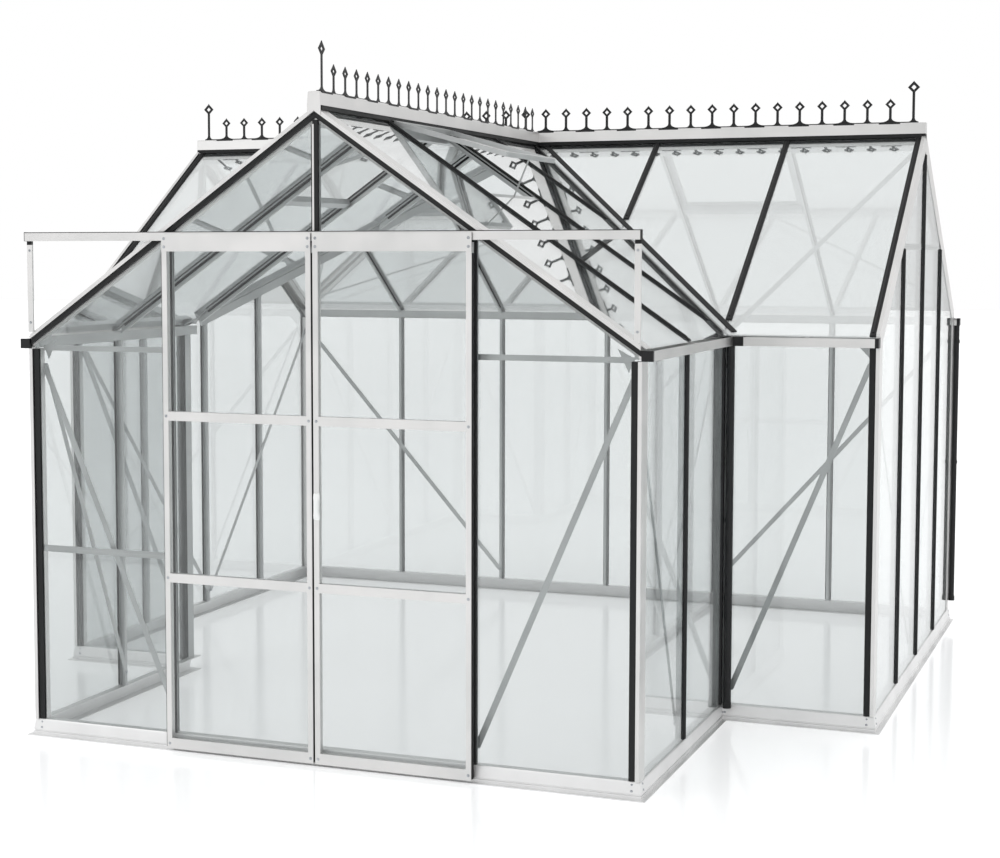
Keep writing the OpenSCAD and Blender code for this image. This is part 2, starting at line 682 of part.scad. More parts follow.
// ---------- gutters ----------
gutter_t = 3;
gutter_n = [glass_t, glass_t + gutter_w];
end_len = 16;
elbow = 44;
module gutter_run(i, s)
  on_wall(i) translate([s[0], 0, 0]) rotate([90, 0, 90]) linear_extrude(s[1] - s[0]) {
    back = gutter_z[1] - 8;
    polygon([[-gutter_n[0], gutter_z[0]], [-gutter_n[1], gutter_z[0]],
             [-gutter_n[1], gutter_z[1]], [gutter_t - gutter_n[1], gutter_z[1]],
             [gutter_t - gutter_n[1], gutter_z[0] + gutter_t],
             [-gutter_n[0] - gutter_t, gutter_z[0] + gutter_t],
             [-gutter_n[0] - gutter_t, back], [-gutter_n[0], back]]);
  }
inner_end = gutter_n[1] + 1;
gable_over = 36;
module gutters()
  color(ALU) {
    gutter_run(WING_R, [end_len - lip_out, run - inner_end]);
    gutter_run(WING_L, [inner_end, run + lip_out - end_len]);
    gutter_run(MAIN_R, [inner_end + elbow, bay + side_out - end_len]);
    gutter_run(MAIN_L, [end_len - side_out, bay - inner_end - elbow]);
    gutter_run(REAR, [end_len - gable_over, 6 * bay + gable_over - end_len]);
  }
module fitting_block(i, s)
  on_wall(i) block(s, [-gutter_n[1] - fitting, -gutter_n[0]],
                   [gutter_z[0] - fitting, gutter_z[1] + fitting]);
module gutter_fittings()
  color(BLACK) {
    fitting_block(WING_R, [-lip_out, end_len - lip_out]);
    fitting_block(WING_L, [run + lip_out - end_len, run + lip_out]);
    fitting_block(MAIN_R, [gutter_n[0], inner_end + elbow]);
    fitting_block(MAIN_L, [bay - inner_end - elbow, bay - gutter_n[0]]);
    fitting_block(MAIN_R, [bay + side_out - end_len, bay + side_out]);
    fitting_block(MAIN_L, [-side_out, end_len - side_out]);
    fitting_block(REAR, [-gable_over, end_len - gable_over]);
    fitting_block(REAR, [6 * bay + gable_over - end_len, 6 * bay + gable_over]);
  }

// Downpipes hang from the fittings; a shoe turns each foot outwards
pipe_off = foot_out + pipe_r + 3;
inner_foot = 55;
rear_foot = 105;
inner_clip = 255;
rear_clip = 135;
collar = 3;
collar_h = 24;
clip_w = 12;
clip_h = 10;
module downpipe(x, y, z0) {
  translate([x, y, z0]) cylinder(h = post_top - z0, r = pipe_r, $fn = 48);
  translate([x, y, z0]) cylinder(h = collar_h, r = pipe_r + collar, $fn = 48);
}
module downpipes()
  color(BLACK) for (side = [-1, 1]) {
    inner = [side * (run + pipe_off), run - pipe_off + 6];
    downpipe(inner.x, inner.y, inner_foot);
    // Clip that reaches from the pipe to the capping behind it
    translate([inner.x - clip_w / 2, inner.y, inner_clip])
      cube([clip_w, run - cap_top - fit - inner.y, clip_h]);
    rear = [side * (main_end + pipe_r + 3), 3 * run + lip_out + pipe_r];
    downpipe(rear.x, rear.y, rear_foot);
    // Clip that reaches from the pipe to the corner post's lip
    translate([side * (main_end + clip_w / 3) - clip_w / 2, 3 * run + lip_out + fit, rear_clip])
      cube([clip_w, pipe_r, clip_h]);
  }

// ---------- braces, gussets ----------
brace_w = 24;
brace_t = 3;
brace_d = [bar_d, bar_d + brace_t];
module brace(i, a, b) on_wall(i) wall_plate(strip(a, b, brace_w), brace_d);
post_line = leg_a - post_t / 2;
brace_top = eave_h - 120;
brace_low = base_h + 60;
// Start of the braces beside a corner, clear of the brace round it
side_start = leg_d + brace_w / 3;
// Distance of the gables' paired braces from the middle of their bar
brace_end = 10;
module wall_braces()
  color(ALU) {
    // Braces from the corners down to the middle of each wall
    brace(FRONT, [post_line, brace_top], [bay - 4, brace_low]);
    brace(FRONT, [4 * bay - post_line, brace_top], [3 * bay + 4, brace_low]);
    brace(WING_R, [side_start, brace_top], [bay - 4, brace_low]);
    brace(WING_L, [run - side_start, brace_top], [bay + 4, brace_low]);
    brace(MAIN_R, [post_line, brace_low], [bay - post_line, brace_top]);
    brace(MAIN_L, [bay - post_line, brace_low], [post_line, brace_top]);
    for (i = [GABLE_R, GABLE_L]) {
      brace(i, [side_start, brace_top], [run - brace_end, brace_low]);
      brace(i, [4 * bay - side_start, brace_top], [run + brace_end, brace_low]);
    }
    brace(REAR, [post_line, brace_top], [run - 4, brace_low]);
    brace(REAR, [6 * bay - post_line, brace_top], [4 * bay + 4, brace_low]);
    // Ties across the front gable's side bays at the eave
    for (s = [[post_line - 2, bay], [3 * bay, 4 * bay - post_line + 2]])
      on_wall(FRONT) block(s, brace_d, [eave_h - 60, eave_h - 38]);
  }

// Roof braces lie under the rafters, from the inner corners up to the gables
module roof_brace(i, a, b)
  on_wall(i) intersection() {
    slab([min(a.x, b.x) - brace_w, max(a.x, b.x) + brace_w], [a.y, b.y],
         [-bar_d - brace_t, -bar_d]);
    linear_extrude(ridge_h + bay) polygon(strip(a + (a - b), b + (b - a), brace_w));
  }
module roof_braces()
  color(ALU) {
    roof_brace(MAIN_R, [4, bar_d + 30], [bay - leg_a + 2, run - 60]);
    roof_brace(MAIN_L, [bay - 4, bar_d + 30], [leg_a - 2, run - 60]);
  }

module gusset(i, s, sgn)
  on_wall(i) wall_plate([[s, eave_h - 100], [s + sgn * 62, eave_h - 36],
                         [s + sgn * 62, eave_h - 22], [s, eave_h - 36]], brace_d);
// Three-cornered plate behind the tie and brace at a front eave corner
module gable_gusset(s0, sgn)
  on_wall(FRONT)
    wall_plate([for (p = [[post_line, -43], [99, -8], [56, -96]]) [s0 + sgn * p.x, eave_h + p.y]],
               [brace_d[1], brace_d[1] + brace_t]);
module gusset_plates()
  color(ALU) {
    for (s = [0, 4 * bay]) gable_gusset(s, s > 0 ? -1 : 1);
    gusset(MAIN_R, bay - post_line, -1);
    gusset(MAIN_L, post_line, 1);
    gusset(REAR, post_line, 1);
    gusset(REAR, 6 * bay - post_line, -1);
  }

// ---------- roof vents ----------
// Places children at a vent's hinge: x along the ridge, -y down the slope
module at_vent(i, s, open)
  on_wall(i) translate([s, run - vent_hinge, roof_z(run - vent_hinge, vent_lift)])
    rotate([pitch - open, 0, 0]) children();
vent_w = bay - 2 * vent_side;
hook_t = 3;
VENTS = [[WING_R, bay + vent_side, vent_open], [WING_L, vent_side, vent_open],
         [REAR, bay + vent_side, 0], [REAR, 4 * bay + vent_side, 0]];
module roof_vent_frames()
  color(ALU) for (v = VENTS) {
    at_vent(v[0], v[1], v[2]) difference() {
      block([0, vent_w], [-vent_len, 0], [-vent_bar, 0]);
      block([vent_bar, vent_w - vent_bar], [vent_bar - vent_len, -vent_bar],
            [-vent_bar - 1, 1]);
    }
    // Hook of the top rail, under the ridge capping
    tilt = pitch - v[2];
    hook = (vent_hinge - seal_half - fit) / cos(tilt) - hook_t * tan(tilt);
    at_vent(v[0], v[1], v[2])
      block([vent_bar, vent_w - vent_bar], [-1, hook], [-hook_t, 0]);
  }
// Sills between the rafters under the vents' lower edges
module roof_vent_sills()
  color(ALU) for (v = VENTS)
    on_wall(v[0]) slab([v[1], v[1] + vent_w], sill_d, [-vent_bar, sill_top]);
module roof_vent_glass()
  color(GLASS) for (v = VENTS) at_vent(v[0], v[1], v[2])
    block([vent_bar, vent_w - vent_bar], [vent_bar - vent_len, -vent_bar],
          [-vent_bar / 2 - glass_t, -vent_bar / 2]);
module roof_vent_stays()
  color(ALU) for (v = VENTS) if (v[2] > 0) on_wall(v[0]) {
    tilt = pitch - v[2];
    foot = [run - vent_reach - 13, roof_z(run - vent_reach - 13, sill_top)];
    lip = [run - vent_hinge - (vent_len - 10) * cos(tilt) + vent_bar * sin(tilt),
           roof_z(run - vent_hinge, vent_lift) - (vent_len - 10) * sin(tilt)
             - vent_bar * cos(tilt)];
    translate([v[1] + vent_w / 2 - 5, 0, 0]) rotate([90, 0, 90]) linear_extrude(10)
      polygon(strip(foot + [0, 0.5], lip - [0, 0.5], 4));
  }

// ---------- crest ----------
crest_z = ridge_h + seal_top + ridge_cap_h;
rail = 6;
stem = 6;
// Half outline of a finial, from its foot to its tip
function finial_side(h, foot, gem) =
  let (mid = h - gem - 3, bend = 18)
  concat([[foot, 0], [foot, rail]],
         [for (a = [0:22.5:90]) [stem + (foot - stem) * (1 - sin(a)), rail + bend * (1 - cos(a))]],
         [[stem, mid - gem + stem], [gem, mid], [2, h - 4], [0, h]]);
module finial_shape(h, foot, gem) {
  side = finial_side(h, foot, gem);
  last = len(side) - 1;
  difference() {
    polygon(concat(side, [for (k = [1:last]) [-side[last - k].x, side[last - k].y]]));
    translate([0, h - gem - 3]) circle(r = gem * 0.42, $fn = 4);
  }
}
pitch_f = bay / finials_per_bay;
wide_foot = pitch_f * 0.41;
narrow_foot = pitch_f * 0.22;
gem_small = 24;
gem_tall = 28;
// A run of crest: n small finials from x = 0, then a tall one at its far end. Every
// second foot is wide, from the one that first_wide counts.
module crest_run(n, first_wide)
  rotate([90, 0, 0]) translate([0, 0, -crest_t / 2]) linear_extrude(crest_t) {
    for (k = [0:n]) translate([k * pitch_f, 0])
      finial_shape(k < n ? finial_h : tall_h, k % 2 == first_wide ? wide_foot : narrow_foot,
                   k < n ? gem_small : gem_tall);
    square([n * pitch_f, rail]);
  }
main_finials = 3 * finials_per_bay - 1;
wing_finials = 4 * finials_per_bay - 1;
module crest_main()
  color(BLACK) for (turn = [0, 180])
    translate([0, 2 * run, crest_z]) rotate([0, 0, turn]) translate([pitch_f / 2, 0, 0])
      crest_run(main_finials, 0);
module crest_wing()
  color(BLACK) translate([0, pitch_f / 2 + wing_finials * pitch_f, crest_z])
    rotate([0, 0, -90]) crest_run(wing_finials, 1);

// ---------- doors ----------
track_n = [lip_out, lip_out + track_d];
track_end = run + 2;
wall_t = 3;
slot = 10;
mid_n = (track_n[0] + track_n[1]) / 2;
module door_track()
  color(ALU) translate([-track_end, 0, track_z]) rotate([90, 0, 90])
    linear_extrude(2 * track_end) {
      in = [track_n[0] + wall_t, track_n[1] - wall_t];
      polygon([[-track_n[0], 0], [-track_n[0], track_h], [-track_n[1], track_h],
               [-track_n[1], 0], [-mid_n - slot / 2, 0], [-mid_n - slot / 2, wall_t],
               [-in[1], wall_t], [-in[1], track_h - wall_t], [-in[0], track_h - wall_t],
               [-in[0], wall_t], [-mid_n + slot / 2, wall_t], [-mid_n + slot / 2, 0]]);
    }
// Struts stand on the rakes' lips and carry the overhanging ends of the track
strut_w = 24;
module track_struts()
  color(ALU) for (side = [-1, 1]) {
    x = side * (track_end - strut_w / 2);
    translate([x - strut_w / 2, -track_n[0] - 8, roof_z(strut_w, 0)])
      cube([strut_w, 8, track_z - roof_z(strut_w, 0)]);
  }

leaf_gap = 4;
leaf_n = [lip_out + run_gap, lip_out + run_gap + leaf_d];
leaf_top = track_z - run_gap - 2;
hood_n = [track_n[1] + 5, track_n[1] + 8];
rail_h = [42, 36, 36, 34];
rail_z = [leaf_low, 682, 1324, leaf_top - rail_h[3]];
wheel_r = 9;
wheel_at = 90;
module leaf_block(side, x, n, z)
  translate([side > 0 ? x[0] : -x[1], -n[1], z[0]]) cube([x[1] - x[0], n[1] - n[0], z[1] - z[0]]);
module door_leaf(side)
  color(ALU) {
    x = [leaf_gap, leaf_gap + leaf_w];
    for (e = [[x[0], x[0] + stile_w], [x[1] - stile_w, x[1]]])
      leaf_block(side, e, leaf_n, [leaf_low, leaf_top]);
    for (k = [0:3])
      leaf_block(side, x, leaf_n, [rail_z[k], rail_z[k] + rail_h[k]]);
    // Hood of the top rail, in front of the track
    leaf_block(side, x, [leaf_n[1] - 1, hood_n[1]], [leaf_top - rail_h[3], leaf_top]);
    leaf_block(side, x, hood_n, [leaf_top - rail_h[3], track_z + track_h - 4]);
    // Hangers with their wheels, inside the track
    for (w = [x[0] + wheel_at, x[1] - wheel_at]) {
      leaf_block(side, [w - 8, w + 8], [mid_n - 1.5, mid_n + 1.5],
                 [leaf_top - 1, track_z + wall_t + wheel_r]);
      translate([side * w, -mid_n, track_z + wall_t + 0.3 + wheel_r])
        rotate([90, 0, 0]) cylinder(h = track_d - 2 * wall_t - 4, r = wheel_r, center = true,
                                    $fn = 48);
    }
  }
module door_glass(side)
  color(GLASS) for (k = [0:2])
    leaf_block(side, [leaf_gap + stile_w, leaf_gap + leaf_w - stile_w],
               [leaf_n[0] + leaf_d / 2, leaf_n[0] + leaf_d / 2 + glass_t],
               [rail_z[k] + rail_h[k], rail_z[k + 1]]);
module door_left_leaf() door_leaf(-1);
module door_left_glass() door_glass(-1);
module door_right_leaf() door_leaf(1);
module door_right_glass() door_glass(1);
handle_z = [964, 1067];
module door_handle()
  color([0.93, 0.93, 0.93])
    leaf_block(1, [leaf_gap, leaf_gap + stile_w + 4], [leaf_n[1], leaf_n[1] + 14], handle_z);

base_front();
base_wing_sides();
base_main_fronts();
base_gables();
base_rear();
corner_posts();
inner_corner_posts();
front_wall_bars();
wing_wall_bars();
gable_wall_bars();
rear_wall_bars();
eave_beams();
front_rakes();
main_rakes();
main_ridge_beam();
wing_ridge_beam();
ridge_seals();
main_ridge_cap();
wing_ridge_cap();
main_rafters();
wing_rafters();
valley_bars();
valley_flashings();
wall_capping();
roof_capping();
glass_front_wall();
glass_wing_walls();
glass_main_fronts();
glass_gables();
glass_rear_wall();
glass_main_roof();
glass_wing_roof();
gutters();
gutter_fittings();
downpipes();
wall_braces();
roof_braces();
gusset_plates();
roof_vent_frames();
roof_vent_sills();
roof_vent_glass();
roof_vent_stays();
crest_main();
crest_wing();
door_track();
track_struts();
door_left_leaf();
door_left_glass();
door_right_leaf();
door_right_glass();
door_handle();
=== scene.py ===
"""Looks for a cross-ridge aluminium glasshouse: finishes, fixings, seals and studio."""

import json
import logging
import math
from dataclasses import dataclass
from enum import Enum
from typing import Iterable, Optional, Sequence

import bmesh
import bpy
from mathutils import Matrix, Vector

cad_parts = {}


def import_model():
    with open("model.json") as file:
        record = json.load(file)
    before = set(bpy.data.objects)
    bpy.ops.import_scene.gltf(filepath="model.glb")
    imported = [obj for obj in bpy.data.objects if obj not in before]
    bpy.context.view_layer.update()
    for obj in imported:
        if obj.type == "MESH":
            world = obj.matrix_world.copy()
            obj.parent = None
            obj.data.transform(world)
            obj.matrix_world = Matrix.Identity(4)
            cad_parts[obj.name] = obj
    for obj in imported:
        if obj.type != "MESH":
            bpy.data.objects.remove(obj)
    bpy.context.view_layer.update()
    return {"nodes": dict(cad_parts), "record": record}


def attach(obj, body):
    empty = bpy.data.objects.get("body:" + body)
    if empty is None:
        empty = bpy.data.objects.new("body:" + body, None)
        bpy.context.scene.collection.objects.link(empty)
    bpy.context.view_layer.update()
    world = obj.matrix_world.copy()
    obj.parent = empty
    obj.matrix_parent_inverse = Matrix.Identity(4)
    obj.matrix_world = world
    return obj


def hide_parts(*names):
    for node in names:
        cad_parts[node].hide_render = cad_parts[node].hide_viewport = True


LOG = logging.getLogger("glasshouse")
Point = tuple[float, float, float]
Span = tuple[float, float]
# A place and its outward direction
Spot = tuple[Vector, Vector]
# The two ends of a straight run
Run = tuple[Vector, Vector]

MM = 0.001
X, Y, Z = Vector((1, 0, 0)), Vector((0, 1, 0)), Vector((0, 0, 1))
ORIGIN = Vector((0, 0, 0))
SIDES = (-1, 1)
# Values of a noise between which a finish drifts from smoother to rougher
DRIFT_FROM, DRIFT_TO = 0.3, 0.7


# ---------------------------------------------------------------- finishes


def linear(hex_colour: str) -> tuple[float, float, float, float]:
    """Turn an sRGB hex colour into linear RGBA.

    Args:
        hex_colour: Six hex digits, with or without a leading hash.

    Returns:
        Linear red, green and blue with an alpha of one.
    """
    text = hex_colour.lstrip("#")
    parts = [int(text[k : k + 2], 16) / 255 for k in (0, 2, 4)]
    low = [c / 12.92 if c <= 0.04045 else ((c + 0.055) / 1.055) ** 2.4 for c in parts]
    return (*low, 1.0)


def add_node(
    tree: bpy.types.NodeTree, kind: str, settings: Optional[dict] = None, **inputs: object
) -> bpy.types.Node:
    """Add one node, with its settings, its socket values and its links.

    Args:
        tree: The tree that the node goes into.
        kind: Blender's type name of the node.
        settings: Attributes to set on the node itself.
        **inputs: Socket names, with underscores for spaces, or i and a number for a
            socket's place. A value is either a socket to link from or a plain value.

    Returns:
        The new node.
    """
    node = tree.nodes.new(kind)
    for name, value in (settings or {}).items():
        setattr(node, name, value)
    for name, value in inputs.items():
        if name[0] == "i" and name[1:].isdigit():
            socket = node.inputs[int(name[1:])]
        else:
            socket = node.inputs[name.replace("_", " ")]
        if isinstance(value, bpy.types.NodeSocket):
            tree.links.new(value, socket)
        else:
            socket.default_value = value
    return node


def empty_material(name: str) -> tuple[bpy.types.Material, bpy.types.NodeTree]:
    """Make a material with an empty node tree.

    Args:
        name: Name of the material.

    Returns:
        The material and its tree.
    """
    material = bpy.data.materials.new(name)
    material.use_nodes = True
    material.node_tree.nodes.clear()
    return material, material.node_tree


def finish_output(tree: bpy.types.NodeTree, surface: bpy.types.NodeSocket) -> None:
    """Link a shader to a new material output."""
    add_node(tree, "ShaderNodeOutputMaterial", Surface=surface)


@dataclass(frozen=True)
class Metal:
    """Bare metal: a fine grain in the surface and cloudy handling marks over it."""

    name: str
    light: str
    dark: str
    roughness: float
    grain_mm: float = 2.5
    cloud_mm: float = 260.0
    smoother: float = 0.05
    rougher: float = 0.06
    tone_from: float = 0.35
    tone_to: float = 0.65
    bump: float = 0.05
    bump_height: float = 0.2 * MM

    def build(self) -> bpy.types.Material:
        """Build the material.

        Returns:
            A metal whose tone and roughness drift from place to place.
        """
        material, tree = empty_material(self.name)
        place = add_node(tree, "ShaderNodeTexCoord").outputs["Object"]
        cloud = add_node(
            tree, "ShaderNodeTexNoise", Vector=place, Scale=1 / (self.cloud_mm * MM), Detail=3.0
        )
        tone = add_node(tree, "ShaderNodeValToRGB", Fac=cloud.outputs["Fac"])
        tone.color_ramp.elements[0].position = self.tone_from
        tone.color_ramp.elements[0].color = linear(self.dark)
        tone.color_ramp.elements[1].position = self.tone_to
        tone.color_ramp.elements[1].color = linear(self.light)
        grain = add_node(
            tree, "ShaderNodeTexNoise", Vector=place, Scale=1 / (self.grain_mm * MM), Detail=2.0
        )
        rough = add_node(
            tree,
            "ShaderNodeMapRange",
            Value=cloud.outputs["Fac"],
            From_Min=DRIFT_FROM,
            From_Max=DRIFT_TO,
            To_Min=self.roughness - self.smoother,
            To_Max=self.roughness + self.rougher,
        )
        bump = add_node(
            tree, "ShaderNodeBump", Strength=self.bump, Distance=self.bump_height,
            Height=grain.outputs["Fac"],
        )
        shader = add_node(
            tree,
            "ShaderNodeBsdfPrincipled",
            Base_Color=tone.outputs["Color"],
            Metallic=1.0,
            Roughness=rough.outputs["Result"],
            Normal=bump.outputs["Normal"],
        )
        finish_output(tree, shader.outputs["BSDF"])
        return material


@dataclass(frozen=True)
class Polymer:
    """Plastic, rubber or coating: one colour with fine texture and slight dulling."""

    name: str
    colour: str
    worn: str
    roughness: float
    grain_mm: float
    ior: float = 1.5
    patches_per_m: float = 6.0
    smoother: float = 0.04
    rougher: float = 0.05
    bump: float = 0.08
    bump_height: float = 0.3 * MM

    def build(self) -> bpy.types.Material:
        """Build the material.

        Returns:
            A dielectric with a fine texture and patches that are slightly duller.
        """
        material, tree = empty_material(self.name)
        place = add_node(tree, "ShaderNodeTexCoord").outputs["Object"]
        patch = add_node(
            tree, "ShaderNodeTexNoise", Vector=place, Scale=self.patches_per_m, Detail=4.0
        )
        tone = add_node(
            tree,
            "ShaderNodeMix",
            {"data_type": "RGBA"},
            Factor=patch.outputs["Fac"],
            i6=linear(self.colour),
            i7=linear(self.worn),
        )
        grain = add_node(
            tree, "ShaderNodeTexNoise", Vector=place, Scale=1 / (self.grain_mm * MM), Detail=2.0
        )
        rough = add_node(
            tree,
            "ShaderNodeMapRange",
            Value=patch.outputs["Fac"],
            From_Min=DRIFT_FROM,
            From_Max=DRIFT_TO,
            To_Min=self.roughness - self.smoother,
            To_Max=self.roughness + self.rougher,
        )
        bump = add_node(
            tree, "ShaderNodeBump", Strength=self.bump, Distance=self.bump_height,
            Height=grain.outputs["Fac"],
        )
        shader = add_node(
            tree,
            "ShaderNodeBsdfPrincipled",
            Base_Color=tone.outputs[2],
            Roughness=rough.outputs["Result"],
            IOR=self.ior,
            Normal=bump.outputs["Normal"],
        )
        finish_output(tree, shader.outputs["BSDF"])
        return material


@dataclass(frozen=True)
class Pane:
    """Clear toughened float glass, 3 mm: a faintly grey body and a mirror surface."""

    name: str
    tint: str
    facing_on: float = 0.045
    curve: float = 3.8
    grazing: float = 0.9
    mirror: str = "#eef0f0"
    polish: float = 0.02

    def build(self) -> bpy.types.Material:
        """Build the material.

        Returns:
            A see-through surface that tints what is behind it and reflects by angle.
        """
        material, tree = empty_material(self.name)
        clear = add_node(tree, "ShaderNodeBsdfTransparent", Color=linear(self.tint))
        sheen = add_node(
            tree,
            "ShaderNodeBsdfPrincipled",
            Base_Color=linear(self.mirror),
            Metallic=1.0,
            Roughness=self.polish,
        )
        # A power of the facing weight, the same from inside and outside
        angle = add_node(tree, "ShaderNodeLayerWeight", Blend=0.5)
        slant = add_node(
            tree, "ShaderNodeMath", {"operation": "POWER"}, i0=angle.outputs["Facing"],
            i1=self.curve,
        )
        share = add_node(
            tree, "ShaderNodeMapRange", Value=slant.outputs[0], To_Min=self.facing_on,
            To_Max=self.grazing,
        )
        mix = add_node(
            tree,
            "ShaderNodeMixShader",
            i0=share.outputs[0],
            i1=clear.outputs[0],
            i2=sheen.outputs[0],
        )
        finish_output(tree, mix.outputs[0])
        return material


class Slot(Enum):
    """The record's material slots."""

    BARS = "aluminium_bars"
    BASE = "base_aluminium"
    TRIM = "aluminium_trim"
    CAPPING = "black_capping"
    PLASTIC = "black_plastic"
    ENAMEL = "black_enamel"
    HANDLE = "handle_plastic"
    GLASS = "clear_glass"


FINISHES: dict[Slot, Metal | Polymer | Pane] = {
    # 6063 aluminium as it leaves the die: soft grey metal that dulls in clouds
    Slot.BARS: Metal("mill_extruded_aluminium", "#c4c6c6", "#b3b5b5", 0.42),
    # The same alloy in a thicker section, handled and set on the ground
    Slot.BASE: Metal("mill_base_aluminium", "#ececec", "#e1e1e1", 0.5),
    # Brightened aluminium of doors, ridge and outer corners: paler and smoother
    Slot.TRIM: Metal("bright_extruded_aluminium", "#d9d8d7", "#cdcdcc", 0.38),
    # Extruded PVC capping: near black with a satin skin
    Slot.CAPPING: Polymer("extruded_pvc_capping", "#141516", "#1b1c1d", 0.5, 1.2, ior=1.36),
    # Injection-moulded polypropylene of gutter fittings and pipes
    Slot.PLASTIC: Polymer("moulded_black_polypropylene", "#101112", "#17181a", 0.42, 0.8, ior=1.36),
    # Black powder coat on cast crest pieces: slight orange peel
    Slot.ENAMEL: Polymer("powder_coated_crest", "#131415", "#1a1b1c", 0.45, 1.5, ior=1.4, bump=0.15),
    # White moulded nylon of the pull handle
    Slot.HANDLE: Polymer("moulded_white_nylon", "#f0f1f0", "#e6e8e7", 0.32, 0.8),
    # Clear 3 mm toughened horticultural float glass
    Slot.GLASS: Pane("toughened_float_glass", "#f1f2f2"),
}
# The roof's panes lie towards the sky. They get a paler copy of the same glass with a stronger mirror
# share, which paints sky light onto them.
ROOF_GLASS_PAINTED_SKY = Pane("toughened_glass_painted_sky_sheen", "#f8f9f9", 0.16, 1.2)
ROOF_PANES = ("glass_main_roof", "glass_wing_roof", "roof_vent_glass")
# EPDM seals: matt black rubber
SEAL = Polymer("epdm_rubber", "#141415", "#1c1d1e", 0.7, 0.6, ior=1.4)
# Zinc-plated steel of screws and bolts
ZINC = Metal("zinc_plated_steel", "#b9bcc0", "#9da1a5", 0.3, 1.0, 40.0)


@dataclass(frozen=True)
class FloorSheet:
    """Pale glossy studio floor that glows a little, so that shadows stay faint."""

    name: str = "studio_floor_sheet"
    colour: str = "#f4f5f6"
    roughness: float = 0.12
    glow: float = 0.30

    def build(self) -> bpy.types.Material:
        """Build the material.

        Returns:
            A glossy white that gives off a little light.
        """
        material, tree = empty_material(self.name)
        shader = add_node(
            tree, "ShaderNodeBsdfPrincipled", Base_Color=linear(self.colour),
            Roughness=self.roughness, Emission_Color=linear("#ffffff"),
            Emission_Strength=self.glow,
        )
        finish_output(tree, shader.outputs["BSDF"])
        return material


# ---------------------------------------------------------------- the house's own sizes


class Wall(Enum):
    """Walls by their place in the plan, anticlockwise from the front."""

    FRONT = 0
    WING_R = 1
    MAIN_R = 2
    GABLE_R = 3
    REAR = 4
    GABLE_L = 5
    MAIN_L = 6
    WING_L = 7


GABLES = (Wall.GABLE_R, Wall.GABLE_L)
WING_SIDES = (Wall.WING_R, Wall.WING_L)
# Plan corners in bays, each where the wall of that number starts
PLAN = ((-2, 0), (2, 0), (2, 2), (3, 2), (3, 6), (-3, 6), (-3, 2), (-2, 2))
# Roof bars over each wall, in bays along it: one at or past its ends starts in a valley
ROOF_BARS = {
    Wall.REAR: range(1, 6),
    Wall.WING_R: range(1, 4),
    Wall.WING_L: range(-1, 2),
    Wall.MAIN_R: range(-1, 1),
    Wall.MAIN_L: range(1, 3),
}


@dataclass(frozen=True)
class House:
    """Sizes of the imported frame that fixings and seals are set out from, in metres."""

    bay: float = 0.640
    eave: float = 1.645
    rise: float = 0.880
    glass: float = 0.003
    bar_w: float = 0.027
    cap: float = 0.006
    cover_w: float = 0.060
    base_h: float = 0.066
    track_z: float = 2.028
    track_h: float = 0.032

    @property
    def run(self) -> float:
        """Level distance from an eave to the ridge."""
        return 2 * self.bay

    @property
    def pitch(self) -> float:
        """Pitch of the roof in radians."""
        return math.atan2(self.rise, self.run)

    def corner(self, wall: Wall) -> Vector:
        """Plan corner where a wall starts."""
        return Vector((*PLAN[wall.value], 0)) * self.bay

    def reach(self, wall: Wall) -> Vector:
        """Step in plan from a wall's start to its end, in bays."""
        (x0, y0), (x1, y1) = PLAN[wall.value], PLAN[(wall.value + 1) % len(PLAN)]
        return Vector((x1 - x0, y1 - y0, 0))

    def bays(self, wall: Wall) -> int:
        """Number of bays in a wall."""
        return round(self.reach(wall).length)

    def length(self, wall: Wall) -> float:
        """Length of a wall between its corners."""
        return self.bays(wall) * self.bay

    def heading(self, wall: Wall) -> Vector:
        """Direction in which a wall runs."""
        return self.reach(wall).normalized()

    def partner(self, wall: Wall) -> Wall:
        """The wall that mirrors this one, which is itself at the front and the rear."""
        return Wall(-wall.value % len(PLAN))

    def inward(self, wall: Wall) -> Vector:
        """Direction from a wall into the house."""
        along = self.heading(wall)
        return Vector((-along.y, along.x, 0))

    def at(self, wall: Wall, s: float, d: float, z: float) -> Vector:
        """Point on a wall.

        Args:
            wall: The wall.
            s: Distance along it.
            d: Distance inwards from the glass plane.
            z: Height above the ground.

        Returns:
            The point in the part's frame.
        """
        return self.corner(wall) + self.heading(wall) * s + self.inward(wall) * d + Z * z

    def roof_z(self, d: float, w: float = 0.0) -> float:
        """Height of the roof at a depth inside the eave, w out from its plane."""
        return self.eave + d * self.rise / self.run + w / math.cos(self.pitch)

    def on_roof(self, wall: Wall, s: float, d: float, w: float = 0.0) -> Vector:
        """Point over a wall's slope."""
        return self.at(wall, s, d, self.roof_z(d, w))

    def roof_out(self, wall: Wall) -> Vector:
        """Outward normal of the slope over a wall."""
        return Z * math.cos(self.pitch) - self.inward(wall) * math.sin(self.pitch)

    def roof_bars(self, wall: Wall, at_eave: float, past_valley: float) -> list[Span]:
        """Places of the bars on the slope over a wall.

        Args:
            wall: The wall.
            at_eave: Depth at which something starts on a bar that reaches the eave.
            past_valley: How far past the valley it starts on a bar that ends there.

        Returns:
            Pairs of the place along the wall and the depth of the start.
        """
        places = []
        for k in ROOF_BARS[wall]:
            beyond = max(-k, k - self.bays(wall))
            start = beyond * self.bay + past_valley if beyond >= 0 else at_eave
            places.append((k * self.bay, start))
        return places


HOUSE = House()


# ---------------------------------------------------------------- mesh building


